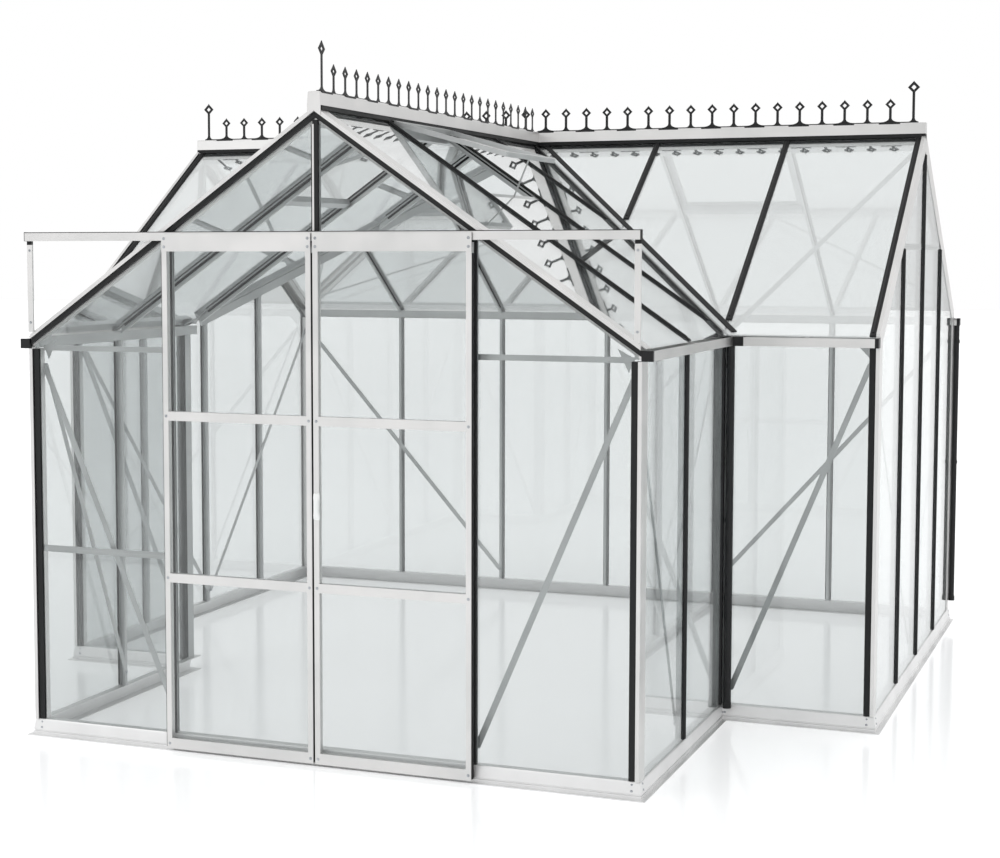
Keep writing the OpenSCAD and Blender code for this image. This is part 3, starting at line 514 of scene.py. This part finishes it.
class Shape:
    """Collects chamfered blocks, lofts and turned forms, then becomes one piece."""

    # Most of a block's thinnest side that a chamfer may take
    CHAMFER_SHARE = 0.3

    def __init__(self, name: str) -> None:
        """Start an empty piece with that name."""
        self.name = name
        self.mesh = bmesh.new()

    def loft(self, rings: Sequence[Sequence[Vector]]) -> None:
        """Skin rings that have equal counts of points, and fill the first and the last."""
        rows = [[self.mesh.verts.new(p) for p in ring] for ring in rings]
        count = len(rows[0])
        for low, high in zip(rows, rows[1:]):
            for k in range(count):
                j = (k + 1) % count
                self.mesh.faces.new((low[k], low[j], high[j], high[k]))
        self.mesh.faces.new(rows[0][::-1])
        self.mesh.faces.new(rows[-1])

    def slab(
        self,
        origin: Vector,
        axes: tuple[Vector, Vector, Vector],
        wide: Span,
        deep: Span,
        long: Span,
        bevel: float = 0.0006,
    ) -> None:
        """Add a block with chamfered long edges and ends.

        Args:
            origin: Where the block is set out from.
            axes: Unit directions of its width, its depth and its length.
            wide: Where its width starts and ends along the first direction.
            deep: The same for its depth along the second one.
            long: The same for its length along the third one.
            bevel: Width of the chamfer.
        """
        x, y, z = axes
        b = min(bevel, *((end - start) * self.CHAMFER_SHARE for start, end in (wide, deep, long)))

        def ring(place: float, inset: float) -> list[Vector]:
            """Octagon at one place along the length."""
            x0, x1, y0, y1 = wide[0] + inset, wide[1] - inset, deep[0] + inset, deep[1] - inset
            plan = [
                (x0 + b, y0), (x1 - b, y0), (x1, y0 + b), (x1, y1 - b),
                (x1 - b, y1), (x0 + b, y1), (x0, y1 - b), (x0, y0 + b),
            ]
            return [origin + x * u + y * v + z * place for u, v in plan]

        start, end = long
        self.loft([ring(start, b), ring(start + b, 0), ring(end - b, 0), ring(end, b)])

    def turned(self, origin: Vector, axis: Vector, profile: Sequence[Span],
               count: int = 24) -> None:
        """Add a form turned round an axis.

        Args:
            origin: Where the axis starts.
            axis: Its direction.
            profile: Pairs of distance along the axis and radius, none of them zero.
            count: Points in a ring.
        """
        axis = axis.normalized()
        u = axis.orthogonal().normalized()
        v = axis.cross(u)
        turns = [2 * math.pi * k / count for k in range(count)]
        self.loft([
            [origin + axis * t + (u * math.cos(a) + v * math.sin(a)) * r for a in turns]
            for t, r in profile
        ])

    def piece(self, body: str, slot: Slot, material: bpy.types.Material,
              replaces: Sequence[str] = ()) -> bpy.types.Object:
        """Turn what was collected into a piece that rides on a body.

        Args:
            body: The CAD body it moves with.
            slot: The record's slot of its finish; not used.
            material: The material it gets.
            replaces: CAD nodes that it stands for.

        Returns:
            The new object.
        """
        bmesh.ops.recalc_face_normals(self.mesh, faces=self.mesh.faces)
        data = bpy.data.meshes.new(self.name)
        self.mesh.to_mesh(data)
        self.mesh.free()
        return place_piece(self.name, data, body, material, replaces)


def place_piece(
    name: str,
    data: bpy.types.Mesh,
    body: str,
    material: bpy.types.Material,
    replaces: Sequence[str] = (),
) -> bpy.types.Object:
    """Link a mesh to the scene, dress it and make it ride.

    Args:
        name: Name of the piece.
        data: Its mesh, in the part's frame.
        body: The CAD body it moves with.
        material: The material it gets.
        replaces: CAD nodes that it stands for.

    Returns:
        The new object.
    """
    data.materials.clear()
    data.materials.append(material)
    piece = bpy.data.objects.new(name, data)
    bpy.context.scene.collection.objects.link(piece)
    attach(piece, body)
    if replaces:
        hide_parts(*replaces)
    LOG.info("%s: %d faces on %s", name, len(data.polygons), body)
    return piece


class NodeTool:
    """A Geometry Nodes tree that is run once on a source mesh and then thrown away."""

    def __init__(self, name: str) -> None:
        """Start a tree with a geometry input, a material input and an output."""
        self.tree = bpy.data.node_groups.new(name, "GeometryNodeTree")
        face = self.tree.interface
        face.new_socket("Geometry", in_out="INPUT", socket_type="NodeSocketGeometry")
        face.new_socket("Geometry", in_out="OUTPUT", socket_type="NodeSocketGeometry")
        self.keys: dict[str, str] = {}
        self.add_input("Finish", "NodeSocketMaterial")
        self.source: Optional[bpy.types.Node] = None

    def add_input(self, name: str, kind: str = "NodeSocketFloat") -> None:
        """Add a named input to the tree."""
        socket = self.tree.interface.new_socket(name, in_out="INPUT", socket_type=kind)
        self.keys[name] = socket.identifier

    def open(self) -> bpy.types.Node:
        """Add and return the node that gives the tree's inputs."""
        self.source = add_node(self.tree, "NodeGroupInput")
        return self.source

    def close(self, geometry: bpy.types.NodeSocket) -> None:
        """End the tree with Realize Instances and Set Material."""
        real = add_node(self.tree, "GeometryNodeRealizeInstances", Geometry=geometry)
        dressed = add_node(
            self.tree,
            "GeometryNodeSetMaterial",
            Geometry=real.outputs[0],
            Material=self.source.outputs["Finish"],
        )
        add_node(self.tree, "NodeGroupOutput", Geometry=dressed.outputs[0])

    def run(self, source: bpy.types.Mesh, name: str, **values: object) -> bpy.types.Mesh:
        """Evaluate the tree on a source mesh.

        Args:
            source: The mesh whose points or edges the tree works on.
            name: Name of the result.
            **values: Values of the named inputs, with underscores for spaces.

        Returns:
            A plain mesh.
        """
        holder = bpy.data.objects.new(name + "_source", source)
        bpy.context.scene.collection.objects.link(holder)
        modifier = holder.modifiers.new(name, "NODES")
        modifier.node_group = self.tree
        for key, value in values.items():
            modifier[self.keys[key.replace("_", " ")]] = value
        graph = bpy.context.evaluated_depsgraph_get()
        result = bpy.data.meshes.new_from_object(holder.evaluated_get(graph))
        holder.modifiers.remove(modifier)
        bpy.data.objects.remove(holder)
        bpy.data.meshes.remove(source)
        result.name = name
        return result


class ScrewTool(NodeTool):
    """Sets a washer and a domed head on each point, turned to its facing direction."""

    SIDES = 12
    # Shares of the head's radius and height
    WASHER_RADIUS = 1.35
    WASHER_HEIGHT = 0.35
    CROWN_RADIUS = 0.55

    def __init__(self) -> None:
        """Build the tree with its head sizes as inputs."""
        super().__init__("screw_heads")
        self.add_input("Head Radius")
        self.add_input("Head Height")
        data = self.open()
        tree = self.tree
        radius, height = data.outputs["Head Radius"], data.outputs["Head Height"]
        wide, thin, crown = (
            add_node(tree, "ShaderNodeMath", {"operation": "MULTIPLY"}, i0=size, i1=share)
            for size, share in (
                (radius, self.WASHER_RADIUS), (height, self.WASHER_HEIGHT), (radius, self.CROWN_RADIUS)
            )
        )
        washer = add_node(
            tree, "GeometryNodeMeshCylinder", Vertices=self.SIDES, Radius=wide.outputs[0],
            Depth=thin.outputs[0],
        )
        dome = add_node(
            tree, "GeometryNodeMeshCone", Vertices=self.SIDES, Radius_Top=crown.outputs[0],
            Radius_Bottom=radius, Depth=height,
        )
        both = add_node(tree, "GeometryNodeJoinGeometry")
        tree.links.new(washer.outputs["Mesh"], both.inputs[0])
        tree.links.new(dome.outputs["Mesh"], both.inputs[0])
        facing = add_node(
            tree, "GeometryNodeInputNamedAttribute", {"data_type": "FLOAT_VECTOR"}, Name="facing"
        )
        turn = add_node(
            tree, "FunctionNodeAlignRotationToVector", {"axis": "Z"},
            Vector=facing.outputs["Attribute"],
        )
        heads = add_node(
            tree, "GeometryNodeInstanceOnPoints", Points=data.outputs["Geometry"],
            Instance=both.outputs[0], Rotation=turn.outputs[0],
        )
        self.close(heads.outputs[0])


class BeadTool(NodeTool):
    """Runs a round bead along every edge of a source mesh."""

    def __init__(self) -> None:
        """Build the tree with the bead's radius as an input."""
        super().__init__("bead_runs")
        self.add_input("Bead Radius")
        data = self.open()
        tree = self.tree
        path = add_node(tree, "GeometryNodeMeshToCurve", Mesh=data.outputs["Geometry"])
        ring = add_node(
            tree, "GeometryNodeCurvePrimitiveCircle", Resolution=8,
            Radius=data.outputs["Bead Radius"],
        )
        bead = add_node(
            tree, "GeometryNodeCurveToMesh", Curve=path.outputs[0],
            Profile_Curve=ring.outputs[0], Fill_Caps=True,
        )
        self.close(bead.outputs[0])


def point_mesh(name: str, spots: Sequence[Spot]) -> bpy.types.Mesh:
    """Make a mesh of loose points that carry a facing direction.

    Args:
        name: Name of the mesh.
        spots: Pairs of place and outward direction.

    Returns:
        The mesh with its facing attribute.
    """
    data = bpy.data.meshes.new(name)
    data.from_pydata([p for p, _ in spots], [], [])
    facing = data.attributes.new("facing", "FLOAT_VECTOR", "POINT")
    for k, (_, n) in enumerate(spots):
        facing.data[k].vector = n
    return data


def edge_mesh(name: str, runs: Iterable[Run]) -> bpy.types.Mesh:
    """Make a mesh of loose edges, one for each run."""
    points: list[Vector] = []
    edges: list[tuple[int, int]] = []
    for start, end in runs:
        edges.append((len(points), len(points) + 1))
        points += [start, end]
    data = bpy.data.meshes.new(name)
    data.from_pydata(points, edges, [])
    return data


class Head(Enum):
    """Screw and bolt heads, as radius and height."""

    PLATE = (0.0040, 0.003)
    RAIL = (0.0045, 0.003)
    BOLT = (0.0055, 0.005)


@dataclass
class Workshop:
    """Materials and node tools that every sub-assembly shares."""

    finishes: dict[Slot, bpy.types.Material]
    screws: ScrewTool
    beads: BeadTool
    seal: bpy.types.Material
    zinc: bpy.types.Material

    @classmethod
    def open(cls) -> "Workshop":
        """Build every material and tool once."""
        return cls(
            {slot: finish.build() for slot, finish in FINISHES.items()},
            ScrewTool(),
            BeadTool(),
            SEAL.build(),
            ZINC.build(),
        )

    def set_screws(self, name: str, body: str, spots: Sequence[Spot], head: Head) -> None:
        """Put screw heads on a body.

        Args:
            name: Name of the piece.
            body: The CAD body they ride on.
            spots: Pairs of place and outward direction.
            head: Which head they have.
        """
        radius, height = head.value
        data = self.screws.run(
            point_mesh(name, spots), name, Finish=self.zinc, Head_Radius=radius,
            Head_Height=height,
        )
        place_piece(name, data, body, self.zinc)

    def run_beads(self, name: str, runs: Iterable[Run], radius: float,
                  finish: bpy.types.Material) -> None:
        """Run a dark bead along straight runs on the fixed frame.

        Args:
            name: Name of the piece.
            runs: Pairs of end points.
            radius: Radius of the bead.
            finish: The bead's material.
        """
        data = self.beads.run(edge_mesh(name, runs), name, Finish=finish, Bead_Radius=radius)
        place_piece(name, data, "frame", finish)


def dress_frame(frame: dict, shop: Workshop) -> None:
    """Give every CAD node the material of its slot, and the roof's panes a paler glass with painted
    sky sheen.

    Args:
        shop: The shared workshop.
    """
    slots = {row["node"]: Slot(row["material_slot"]) for row in frame["record"]["subparts"]}
    glass_with_painted_sky = ROOF_GLASS_PAINTED_SKY.build()
    for name, node in frame["nodes"].items():
        node.data.materials.clear()
        # Roof panes take the paler glass with painted sky sheen instead of their slot's glass
        finish = glass_with_painted_sky if name in ROOF_PANES else shop.finishes[slots[name]]
        node.data.materials.append(finish)


# ---------------------------------------------------------------- sub-assemblies


@dataclass
class GlazingSeals:
    """Rubber beads beside the wall bars, where the glass beds on the frame."""

    radius: float = 0.0016
    gap: float = 0.0002
    over_base: float = 0.004
    under_eave: float = 0.050
    under_rake: float = 0.075

    def build(self, shop: Workshop) -> None:
        """Run two beads along each bar of every wall but the front."""
        h = HOUSE
        runs: list[Run] = []
        side = h.bar_w / 2 + self.radius + self.gap
        depth = self.radius + self.gap
        low = h.base_h + self.over_base
        for wall in Wall:
            if wall is Wall.FRONT:
                continue
            for k in range(1, h.bays(wall)):
                for s in (k * h.bay - side, k * h.bay + side):
                    top = h.eave - self.under_eave
                    if wall in GABLES:
                        top = h.roof_z(min(s, h.length(wall) - s), -self.under_rake)
                    runs.append((h.at(wall, s, depth, low), h.at(wall, s, depth, top)))
        shop.run_beads("glazing_beads_walls", runs, self.radius, shop.seal)


@dataclass
class BaseFixings:
    """Screws at the corners of the base profile."""

    from_corner: float = 0.022
    # How far the sloping face stands out from the glass, and the height there
    rows: tuple[tuple[float, float], ...] = ((0.0135, 0.032), (0.0095, 0.054))

    def build(self, shop: Workshop) -> None:
        """Add two screws at both ends of every wall."""
        h = HOUSE
        spots: list[Spot] = []
        for wall in Wall:
            for s in (self.from_corner, h.length(wall) - self.from_corner):
                spots += [(h.at(wall, s, -out, z), -h.inward(wall)) for out, z in self.rows]
        shop.set_screws("base_corner_screws", "frame", spots, Head.PLATE)


@dataclass
class Door:
    """Dressing of one sliding leaf: the screws of its rails and its brush seals."""

    side: int
    body: str
    gap: float = 0.004
    width: float = 0.644
    front: float = 0.046
    hood: float = 0.048
    from_edge: float = 0.012
    rail_screws: tuple[float, ...] = (0.034, 0.700, 1.342)
    hood_screws: tuple[float, ...] = (2.004, 2.036)
    meeting_brush: float = 0.0025
    outer_brush: float = 0.0035
    brush_y: Span = (-0.044, -0.026)
    brush_z: Span = (0.020, 1.980)

    def x(self, u: float) -> float:
        """Place across the doorway of a distance from the leaf's meeting edge."""
        return self.side * (self.gap + u)

    def build(self, shop: Workshop) -> None:
        """Add the leaf's small pieces."""
        rows = [(self.hood, z) for z in self.hood_screws]
        rows += [(self.front, z) for z in self.rail_screws]
        spots = [
            (Vector((self.x(u), -out, z)), -Y)
            for u in (self.from_edge, self.width - self.from_edge) for out, z in rows
        ]
        shop.set_screws(self.body + "_screws", self.body, spots, Head.RAIL)
        brush = Shape(self.body + "_brush_seals")
        for across in ((-self.meeting_brush, 0.0), (self.width, self.width + self.outer_brush)):
            brush.slab(X * self.x(0), (X * self.side, Y, Z), across, self.brush_y, self.brush_z)
        brush.piece(self.body, Slot.CAPPING, shop.seal)


@dataclass
class CrestSaddles:
    """Saddles over the ridge capping, under every second foot of the crest."""

    pitch: float = HOUSE.bay / 6
    cap_top: float = 2.588
    half: float = 0.0248
    length_share: float = 0.92
    rise: Span = (-0.006, 0.0025)
    bevel: float = 0.001
    main_feet: int = 17
    wing_feet: int = 23

    def build(self, shop: Workshop) -> None:
        """Add the saddles of both halves of the main ridge and of the wing's ridge."""
        saddles = Shape("crest_saddles")
        reach = self.pitch * self.length_share / 2
        main, wing = Vector((0, 2 * HOUSE.run, self.cap_top)), Vector((0, 0, self.cap_top))
        for start, along, across, feet in (
            (main, -X, -Y, self.main_feet),
            (main, X, Y, self.main_feet),
            (wing, Y, -X, self.wing_feet),
        ):
            for k in range(0, feet, 2):
                saddles.slab(
                    start + along * (k + 0.5) * self.pitch, (along, across, Z), (-reach, reach),
                    (-self.half, self.half), self.rise, self.bevel,
                )
        saddles.piece("frame", Slot.ENAMEL, shop.finishes[Slot.ENAMEL])


@dataclass
class CappingCrowns:
    """Raised crowns along the cappings of roofs, gables and the wing's sides."""

    radius: float = 0.0055
    sunk: float = 0.0015
    past_valley: float = 0.086
    below_ridge: float = 0.030
    from_rake: float = 0.0235
    over_base: float = 0.004
    under_eave: float = 0.056
    under_rake: float = 0.006

    def build(self, shop: Workshop) -> None:
        """Run a crown along each of those cappings."""
        runs = self.roof_runs() + self.wall_runs()
        shop.run_beads("capping_crowns", runs, self.radius, shop.finishes[Slot.CAPPING])

    @property
    def out(self) -> float:
        """How far a crown's middle lies out from the glass plane."""
        return HOUSE.glass + HOUSE.cap - self.sunk

    def roof_runs(self) -> list[Run]:
        """Runs on the slopes, with the ones beside the main rakes."""
        h = HOUSE
        places = {wall: h.roof_bars(wall, 0.0, self.past_valley) for wall in ROOF_BARS}
        places[Wall.MAIN_R].append((h.bay - self.from_rake, 0.0))
        places[Wall.MAIN_L].append((self.from_rake, 0.0))
        top = h.run - self.below_ridge
        return [
            (h.on_roof(wall, s, d, self.out), h.on_roof(wall, s, top, self.out))
            for wall, bars in places.items() for s, d in bars
        ]

    def wall_runs(self) -> list[Run]:
        """Runs on the wing's sides and on the main gables."""
        h = HOUSE
        low = h.base_h + self.over_base
        tops = [(wall, h.bay, h.eave - self.under_eave) for wall in WING_SIDES]
        for wall in GABLES:
            for k in range(1, h.bays(wall)):
                d = min(k, h.bays(wall) - k) * h.bay - h.bar_w / 2
                tops.append((wall, k * h.bay, h.roof_z(d, -h.cover_w) - self.under_rake))
        return [(h.at(wall, s, -self.out, low), h.at(wall, s, -self.out, z)) for wall, s, z in tops]


@dataclass
class TrackDressing:
    """Weather strip and end caps of the door track, and the bar cover over the doors."""

    half: float = 1.282
    strip_y: Span = (-0.0395, -0.0300)
    strip_t: float = 0.003
    cap_y: Span = (-0.0405, -0.0155)
    cap_t: float = 0.003
    cap_over: float = 0.0035
    cap_under: float = 0.001
    packer_y: Span = (-0.0245, -0.0155)
    packer_x: Span = (-0.024, 0.0005)
    packer_z: Span = (-0.016, -0.0005)
    bevel: float = 0.001
    over_track: float = 0.004
    cover_x: Span = (-0.0125, -0.0045)
    cover_y: Span = (-0.0106, -0.0088)
    lip_x: Span = (-0.0185, -0.0138)
    lip_y: Span = (-0.0062, -0.0032)
    from_apex: float = 0.020
    under_rake: float = 0.034
    clear: float = 0.004
    screw_in: float = 0.012
    strut_front: float = 0.0243
    strut_screws: tuple[float, ...] = (1.700, 1.990)

    def build(self, shop: Workshop) -> None:
        """Add the strip, the end caps, the bar cover and the struts' screws."""
        self.strip(shop)
        self.bar_cover(shop)
        spots = [
            (Vector((side * (self.half - self.screw_in), -self.strut_front, z)), -Y)
            for side in SIDES for z in self.strut_screws
        ]
        shop.set_screws("strut_screws", "frame", spots, Head.PLATE)

    def strip(self, shop: Workshop) -> None:
        """Lay the strip on the track, and put a cap and a packer at both ends."""
        low = HOUSE.track_z
        top = low + HOUSE.track_h
        strip = Shape("track_weather_strip")
        strip.slab(ORIGIN, (Z, Y, X), (top, top + self.strip_t), self.strip_y, (-self.half, self.half))
        for side in SIDES:
            axes = (Y, Z, X * side)
            strip.slab(ORIGIN, axes, self.cap_y, (low - self.cap_under, top + self.cap_over),
                       (self.half, self.half + self.cap_t), self.bevel)
            strip.slab(X * side * self.half + Z * low, axes, self.packer_y, self.packer_z,
                       self.packer_x, self.bevel)
        strip.piece("frame", Slot.CAPPING, shop.seal)

    def bar_cover(self, shop: Workshop) -> None:
        """Stand the light cover and the dark lip in front of the bar over the doors."""
        h = HOUSE
        foot = h.track_z + h.track_h + self.over_track
        peak = h.roof_z(h.run - self.from_apex, -self.under_rake) - self.clear
        cover = Shape("bar_cover_over_doors")
        cover.slab(ORIGIN, (X, Y, Z), self.cover_x, self.cover_y, (foot, peak))
        cover.piece("frame", Slot.TRIM, shop.finishes[Slot.TRIM])
        lip = Shape("bar_cover_lip")
        lip.slab(ORIGIN, (X, Y, Z), self.lip_x, self.lip_y, (foot, peak - self.clear))
        lip.piece("frame", Slot.CAPPING, shop.seal)


@dataclass
class PullHandle:
    """White moulded pull on the right leaf, waisted where the fingers go."""

    from_middle: float = 0.004
    width: float = 0.026
    depth: float = 0.014
    low: float = 0.964
    high: float = 1.067
    front: float = 0.046
    edge: float = 0.0012
    squareness: float = 0.6
    arc_steps: int = 8
    # Share of the length, share of the half width and share of the depth
    stations: tuple[Point, ...] = (
        (0, 0.78, 0.35), (0.02, 0.94, 0.5), (0.06, 1, 0.62), (0.18, 1, 0.8), (0.3, 0.86, 1),
        (0.7, 0.86, 1), (0.82, 1, 0.8), (0.94, 1, 0.62), (0.98, 0.94, 0.5), (1, 0.78, 0.35),
    )

    def build(self, shop: Workshop) -> None:
        """Loft the pull from its stations."""
        shape = Shape("pull_handle_moulding")
        shape.loft([self.section(*station) for station in self.stations])
        shape.piece("door_right", Slot.HANDLE, shop.finishes[Slot.HANDLE], ("door_handle",))

    def section(self, along: float, across: float, deep: float) -> list[Vector]:
        """Draw one section, flat against the leaf and rounded to the front.

        Args:
            along: Share of the length at which it lies.
            across: Share of the half width.
            deep: Share of the depth.

        Returns:
            The section's points.
        """
        middle = self.from_middle + self.width / 2
        level = self.low + (self.high - self.low) * along
        half, depth = self.width / 2 * across, self.depth * deep
        ring = [(middle - half, -self.front), (middle + half, -self.front)]
        for k in range(self.arc_steps + 1):
            turn = math.pi * k / self.arc_steps
            bulge = (depth - self.edge) * math.sin(turn) ** self.squareness
            ring.append((middle + half * math.cos(turn), -self.front - self.edge - bulge))
        return [Vector((x, y, level)) for x, y in ring]


@dataclass
class RoofBarSeals:
    """Rubber flanks under the roof glass, beside the webs of the roof bars."""

    at_eave: float = 0.040
    past_valley: float = 0.100
    below_ridge: float = 0.050
    aside: Span = (0.0018, 0.0050)
    under: Span = (-0.0125, -0.0035)
    bevel: float = 0.0005

    def build(self, shop: Workshop) -> None:
        """Add a flank on both sides of the bars over the wing and the rear wall."""
        h = HOUSE
        flanks = Shape("roof_bar_flanks")
        for wall in (*WING_SIDES, Wall.REAR):
            for s, d in h.roof_bars(wall, self.at_eave, self.past_valley):
                start, end = h.on_roof(wall, s, d), h.on_roof(wall, s, h.run - self.below_ridge)
                up = (end - start).normalized()
                for side in SIDES:
                    flanks.slab(start, (h.heading(wall) * side, h.roof_out(wall), up), self.aside,
                                self.under, (0, (end - start).length), self.bevel)
        flanks.piece("frame", Slot.CAPPING, shop.seal)


@dataclass
class BraceBolts:
    """Bolts through the ends of the wall braces and the eave plates, seen from inside."""

    depth: float = 0.0312
    post_line: float = 0.036
    wide_line: float = 0.052
    below_eave: float = 0.120
    above_base: float = 0.060
    foot_in: float = 0.004
    wide_in: float = 0.010
    plate_below: float = 0.049

    def build(self, shop: Workshop) -> None:
        """Set a bolt at every brace end."""
        h = HOUSE
        bay, run, line, side = h.bay, h.run, self.post_line, self.wide_line
        high, low = h.eave - self.below_eave, h.base_h + self.above_base
        # Each place is mirrored to the other side of the house
        ends = {
            Wall.FRONT: [(line, high), (bay - self.foot_in, low),
                         (bay - self.wide_in, h.eave - self.plate_below)],
            Wall.WING_R: [(side, high), (bay - self.foot_in, low)],
            Wall.MAIN_R: [(line, low), (bay - line, high)],
            Wall.GABLE_R: [(side, high), (run - self.wide_in, low), (run + self.wide_in, low),
                           (h.length(Wall.GABLE_R) - side, high)],
            Wall.REAR: [(line, high), (run - self.foot_in, low)],
        }
        spots: list[Spot] = []
        for wall, places in ends.items():
            other = h.partner(wall)
            for s, z in places:
                spots.append((h.at(wall, s, self.depth, z), h.inward(wall)))
                spots.append((h.at(other, h.length(wall) - s, self.depth, z), h.inward(other)))
        shop.set_screws("brace_bolts", "frame", spots, Head.BOLT)


@dataclass
class RainFittings:
    """Straps across the gutters and collars round the downpipes."""

    strap_half: float = 0.009
    strap_out: Span = (-0.045, -0.004)
    strap_z: Span = (-0.0145, -0.0122)
    main_strap: float = 0.350
    collar_levels: tuple[float, ...] = (0.850, 1.500)
    # Distance along the pipe and radius
    collar: tuple[Span, ...] = ((0, 0.0165), (0.002, 0.0178), (0.016, 0.0178), (0.018, 0.0165))
    # Pipes from the inner corners and from the rear corners
    wing_pipe: Span = (0.034, -0.028)
    rear_pipe: Span = (0.018, 0.031)

    def build(self, shop: Workshop) -> None:
        """Add the straps and the collars."""
        self.straps(shop)
        self.collars(shop)

    def straps(self, shop: Workshop) -> None:
        """Lay a strap over each gutter at its bars."""
        h = HOUSE
        straps = Shape("gutter_straps")
        places = {wall: [h.bay] for wall in WING_SIDES}
        places[Wall.MAIN_R] = [self.main_strap]
        places[Wall.MAIN_L] = [h.bay - self.main_strap]
        places[Wall.REAR] = [k * h.bay for k in range(1, h.bays(Wall.REAR))]
        for wall, stations in places.items():
            for s in stations:
                straps.slab(h.at(wall, s, 0, h.eave), (h.heading(wall), h.inward(wall), Z),
                            (-self.strap_half, self.strap_half), self.strap_out, self.strap_z)
        straps.piece("frame", Slot.TRIM, shop.finishes[Slot.TRIM])

    def collars(self, shop: Workshop) -> None:
        """Put two collars round each of the four pipes."""
        inner, rear = HOUSE.corner(Wall.MAIN_R), HOUSE.corner(Wall.REAR)
        collars = Shape("downpipe_collars")
        for side in SIDES:
            for corner, (out, back) in ((inner, self.wing_pipe), (rear, self.rear_pipe)):
                for z in self.collar_levels:
                    place = Vector((side * (corner.x + out), corner.y + back, z))
                    collars.turned(place, Z, self.collar)
        collars.piece("frame", Slot.PLASTIC, shop.finishes[Slot.PLASTIC])


# ---------------------------------------------------------------- studio


@dataclass(frozen=True)
class Softbox:
    """A square lamp: its name, where it hangs, its side and its power in watts."""

    name: str
    place: Point
    size: float
    power: float


@dataclass(frozen=True)
class Studio:
    """Pale floor, soft light and the camera."""

    eye: Point = (3.0843, -6.4329, 1.9775)
    yaw: float = math.radians(21.488)
    pitch: float = math.radians(-4.513)
    focal: float = 67.2
    sensor: float = 36.0
    shift: Span = (0.0483, -0.0280)
    far_clip: float = 500.0
    floor_half: float = 60.0
    floor_drop: float = 0.0005
    softboxes: tuple[Softbox, ...] = (
        Softbox("key_softbox", (-6.0, -7.0, 7.0), 6.0, 110.0),
        Softbox("rear_softbox", (5.0, 10.0, 8.0), 7.0, 50.0),
    )
    lamp_aim: Point = (0.0, 1.9, 1.0)
    sky_heights: Span = (-0.1, 0.8)
    sky_levels: Span = (0.9, 1.08)
    pane_crossings: int = 40

    def build(self) -> None:
        """Build floor, world, lamps and camera."""
        self.floor()
        self.sky()
        for softbox in self.softboxes:
            self.lamp(softbox)
        self.camera()
        bpy.context.scene.view_settings.view_transform = "Standard"
        # Rays cross many panes before they reach the far side
        bpy.context.scene.cycles.transparent_max_bounces = self.pane_crossings

    def camera(self) -> None:
        """Add the camera."""
        camera = bpy.data.objects.new("camera", bpy.data.cameras.new("camera"))
        bpy.context.scene.collection.objects.link(camera)
        camera.data.sensor_width = self.sensor
        camera.data.lens = self.focal
        camera.data.shift_x, camera.data.shift_y = self.shift
        camera.data.clip_end = self.far_clip
        camera.location = self.eye
        camera.rotation_euler = (math.pi / 2 + self.pitch, 0, self.yaw)
        bpy.context.scene.camera = camera

    def floor(self) -> None:
        """Add the floor sheet under the house."""
        half, z = self.floor_half, -self.floor_drop
        corners = [(-half, -half, z), (half, -half, z), (half, half, z), (-half, half, z)]
        data = bpy.data.meshes.new("studio_floor")
        data.from_pydata(corners, [], [(0, 1, 2, 3)])
        data.materials.append(FloorSheet().build())
        floor = bpy.data.objects.new("studio_floor", data)
        bpy.context.scene.collection.objects.link(floor)

    def sky(self) -> None:
        """Light the room evenly, darker towards the horizon for the metal to show."""
        world = bpy.data.worlds.new("studio")
        bpy.context.scene.world = world
        world.use_nodes = True
        tree = world.node_tree
        tree.nodes.clear()
        place = add_node(tree, "ShaderNodeTexCoord").outputs["Generated"]
        height = add_node(tree, "ShaderNodeSeparateXYZ", Vector=place).outputs["Z"]
        ramp = add_node(
            tree, "ShaderNodeMapRange", Value=height, From_Min=self.sky_heights[0],
            From_Max=self.sky_heights[1], To_Min=self.sky_levels[0], To_Max=self.sky_levels[1],
        )
        path = add_node(tree, "ShaderNodeLightPath")
        level = add_node(
            tree, "ShaderNodeMix", {"data_type": "FLOAT"}, i0=path.outputs["Is Camera Ray"],
            i2=ramp.outputs[0], i3=1.0,
        )
        light = add_node(
            tree, "ShaderNodeBackground", Color=linear("#ffffff"), Strength=level.outputs[0]
        )
        add_node(tree, "ShaderNodeOutputWorld", Surface=light.outputs[0])

    def lamp(self, softbox: Softbox) -> None:
        """Hang a softbox that looks at the house."""
        data = bpy.data.lights.new(softbox.name, "AREA")
        data.size = softbox.size
        data.energy = softbox.power
        lamp = bpy.data.objects.new(softbox.name, data)
        lamp.location = softbox.place
        aim = Vector(self.lamp_aim) - Vector(softbox.place)
        lamp.rotation_euler = aim.to_track_quat("-Z", "Y").to_euler()
        bpy.context.scene.collection.objects.link(lamp)


def main() -> None:
    """Load the frame, dress it and set the studio."""
    logging.basicConfig(level=logging.INFO, format="%(name)s: %(message)s")
    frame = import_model()
    shop = Workshop.open()
    dress_frame(frame, shop)
    for part in (
        GlazingSeals(), BaseFixings(), Door(-1, "door_left"), Door(1, "door_right"),
        CrestSaddles(), CappingCrowns(), TrackDressing(), PullHandle(), RoofBarSeals(),
        BraceBolts(), RainFittings(),
    ):
        part.build(shop)
    Studio().build()
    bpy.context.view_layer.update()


if __name__ == "__main__":
    main()
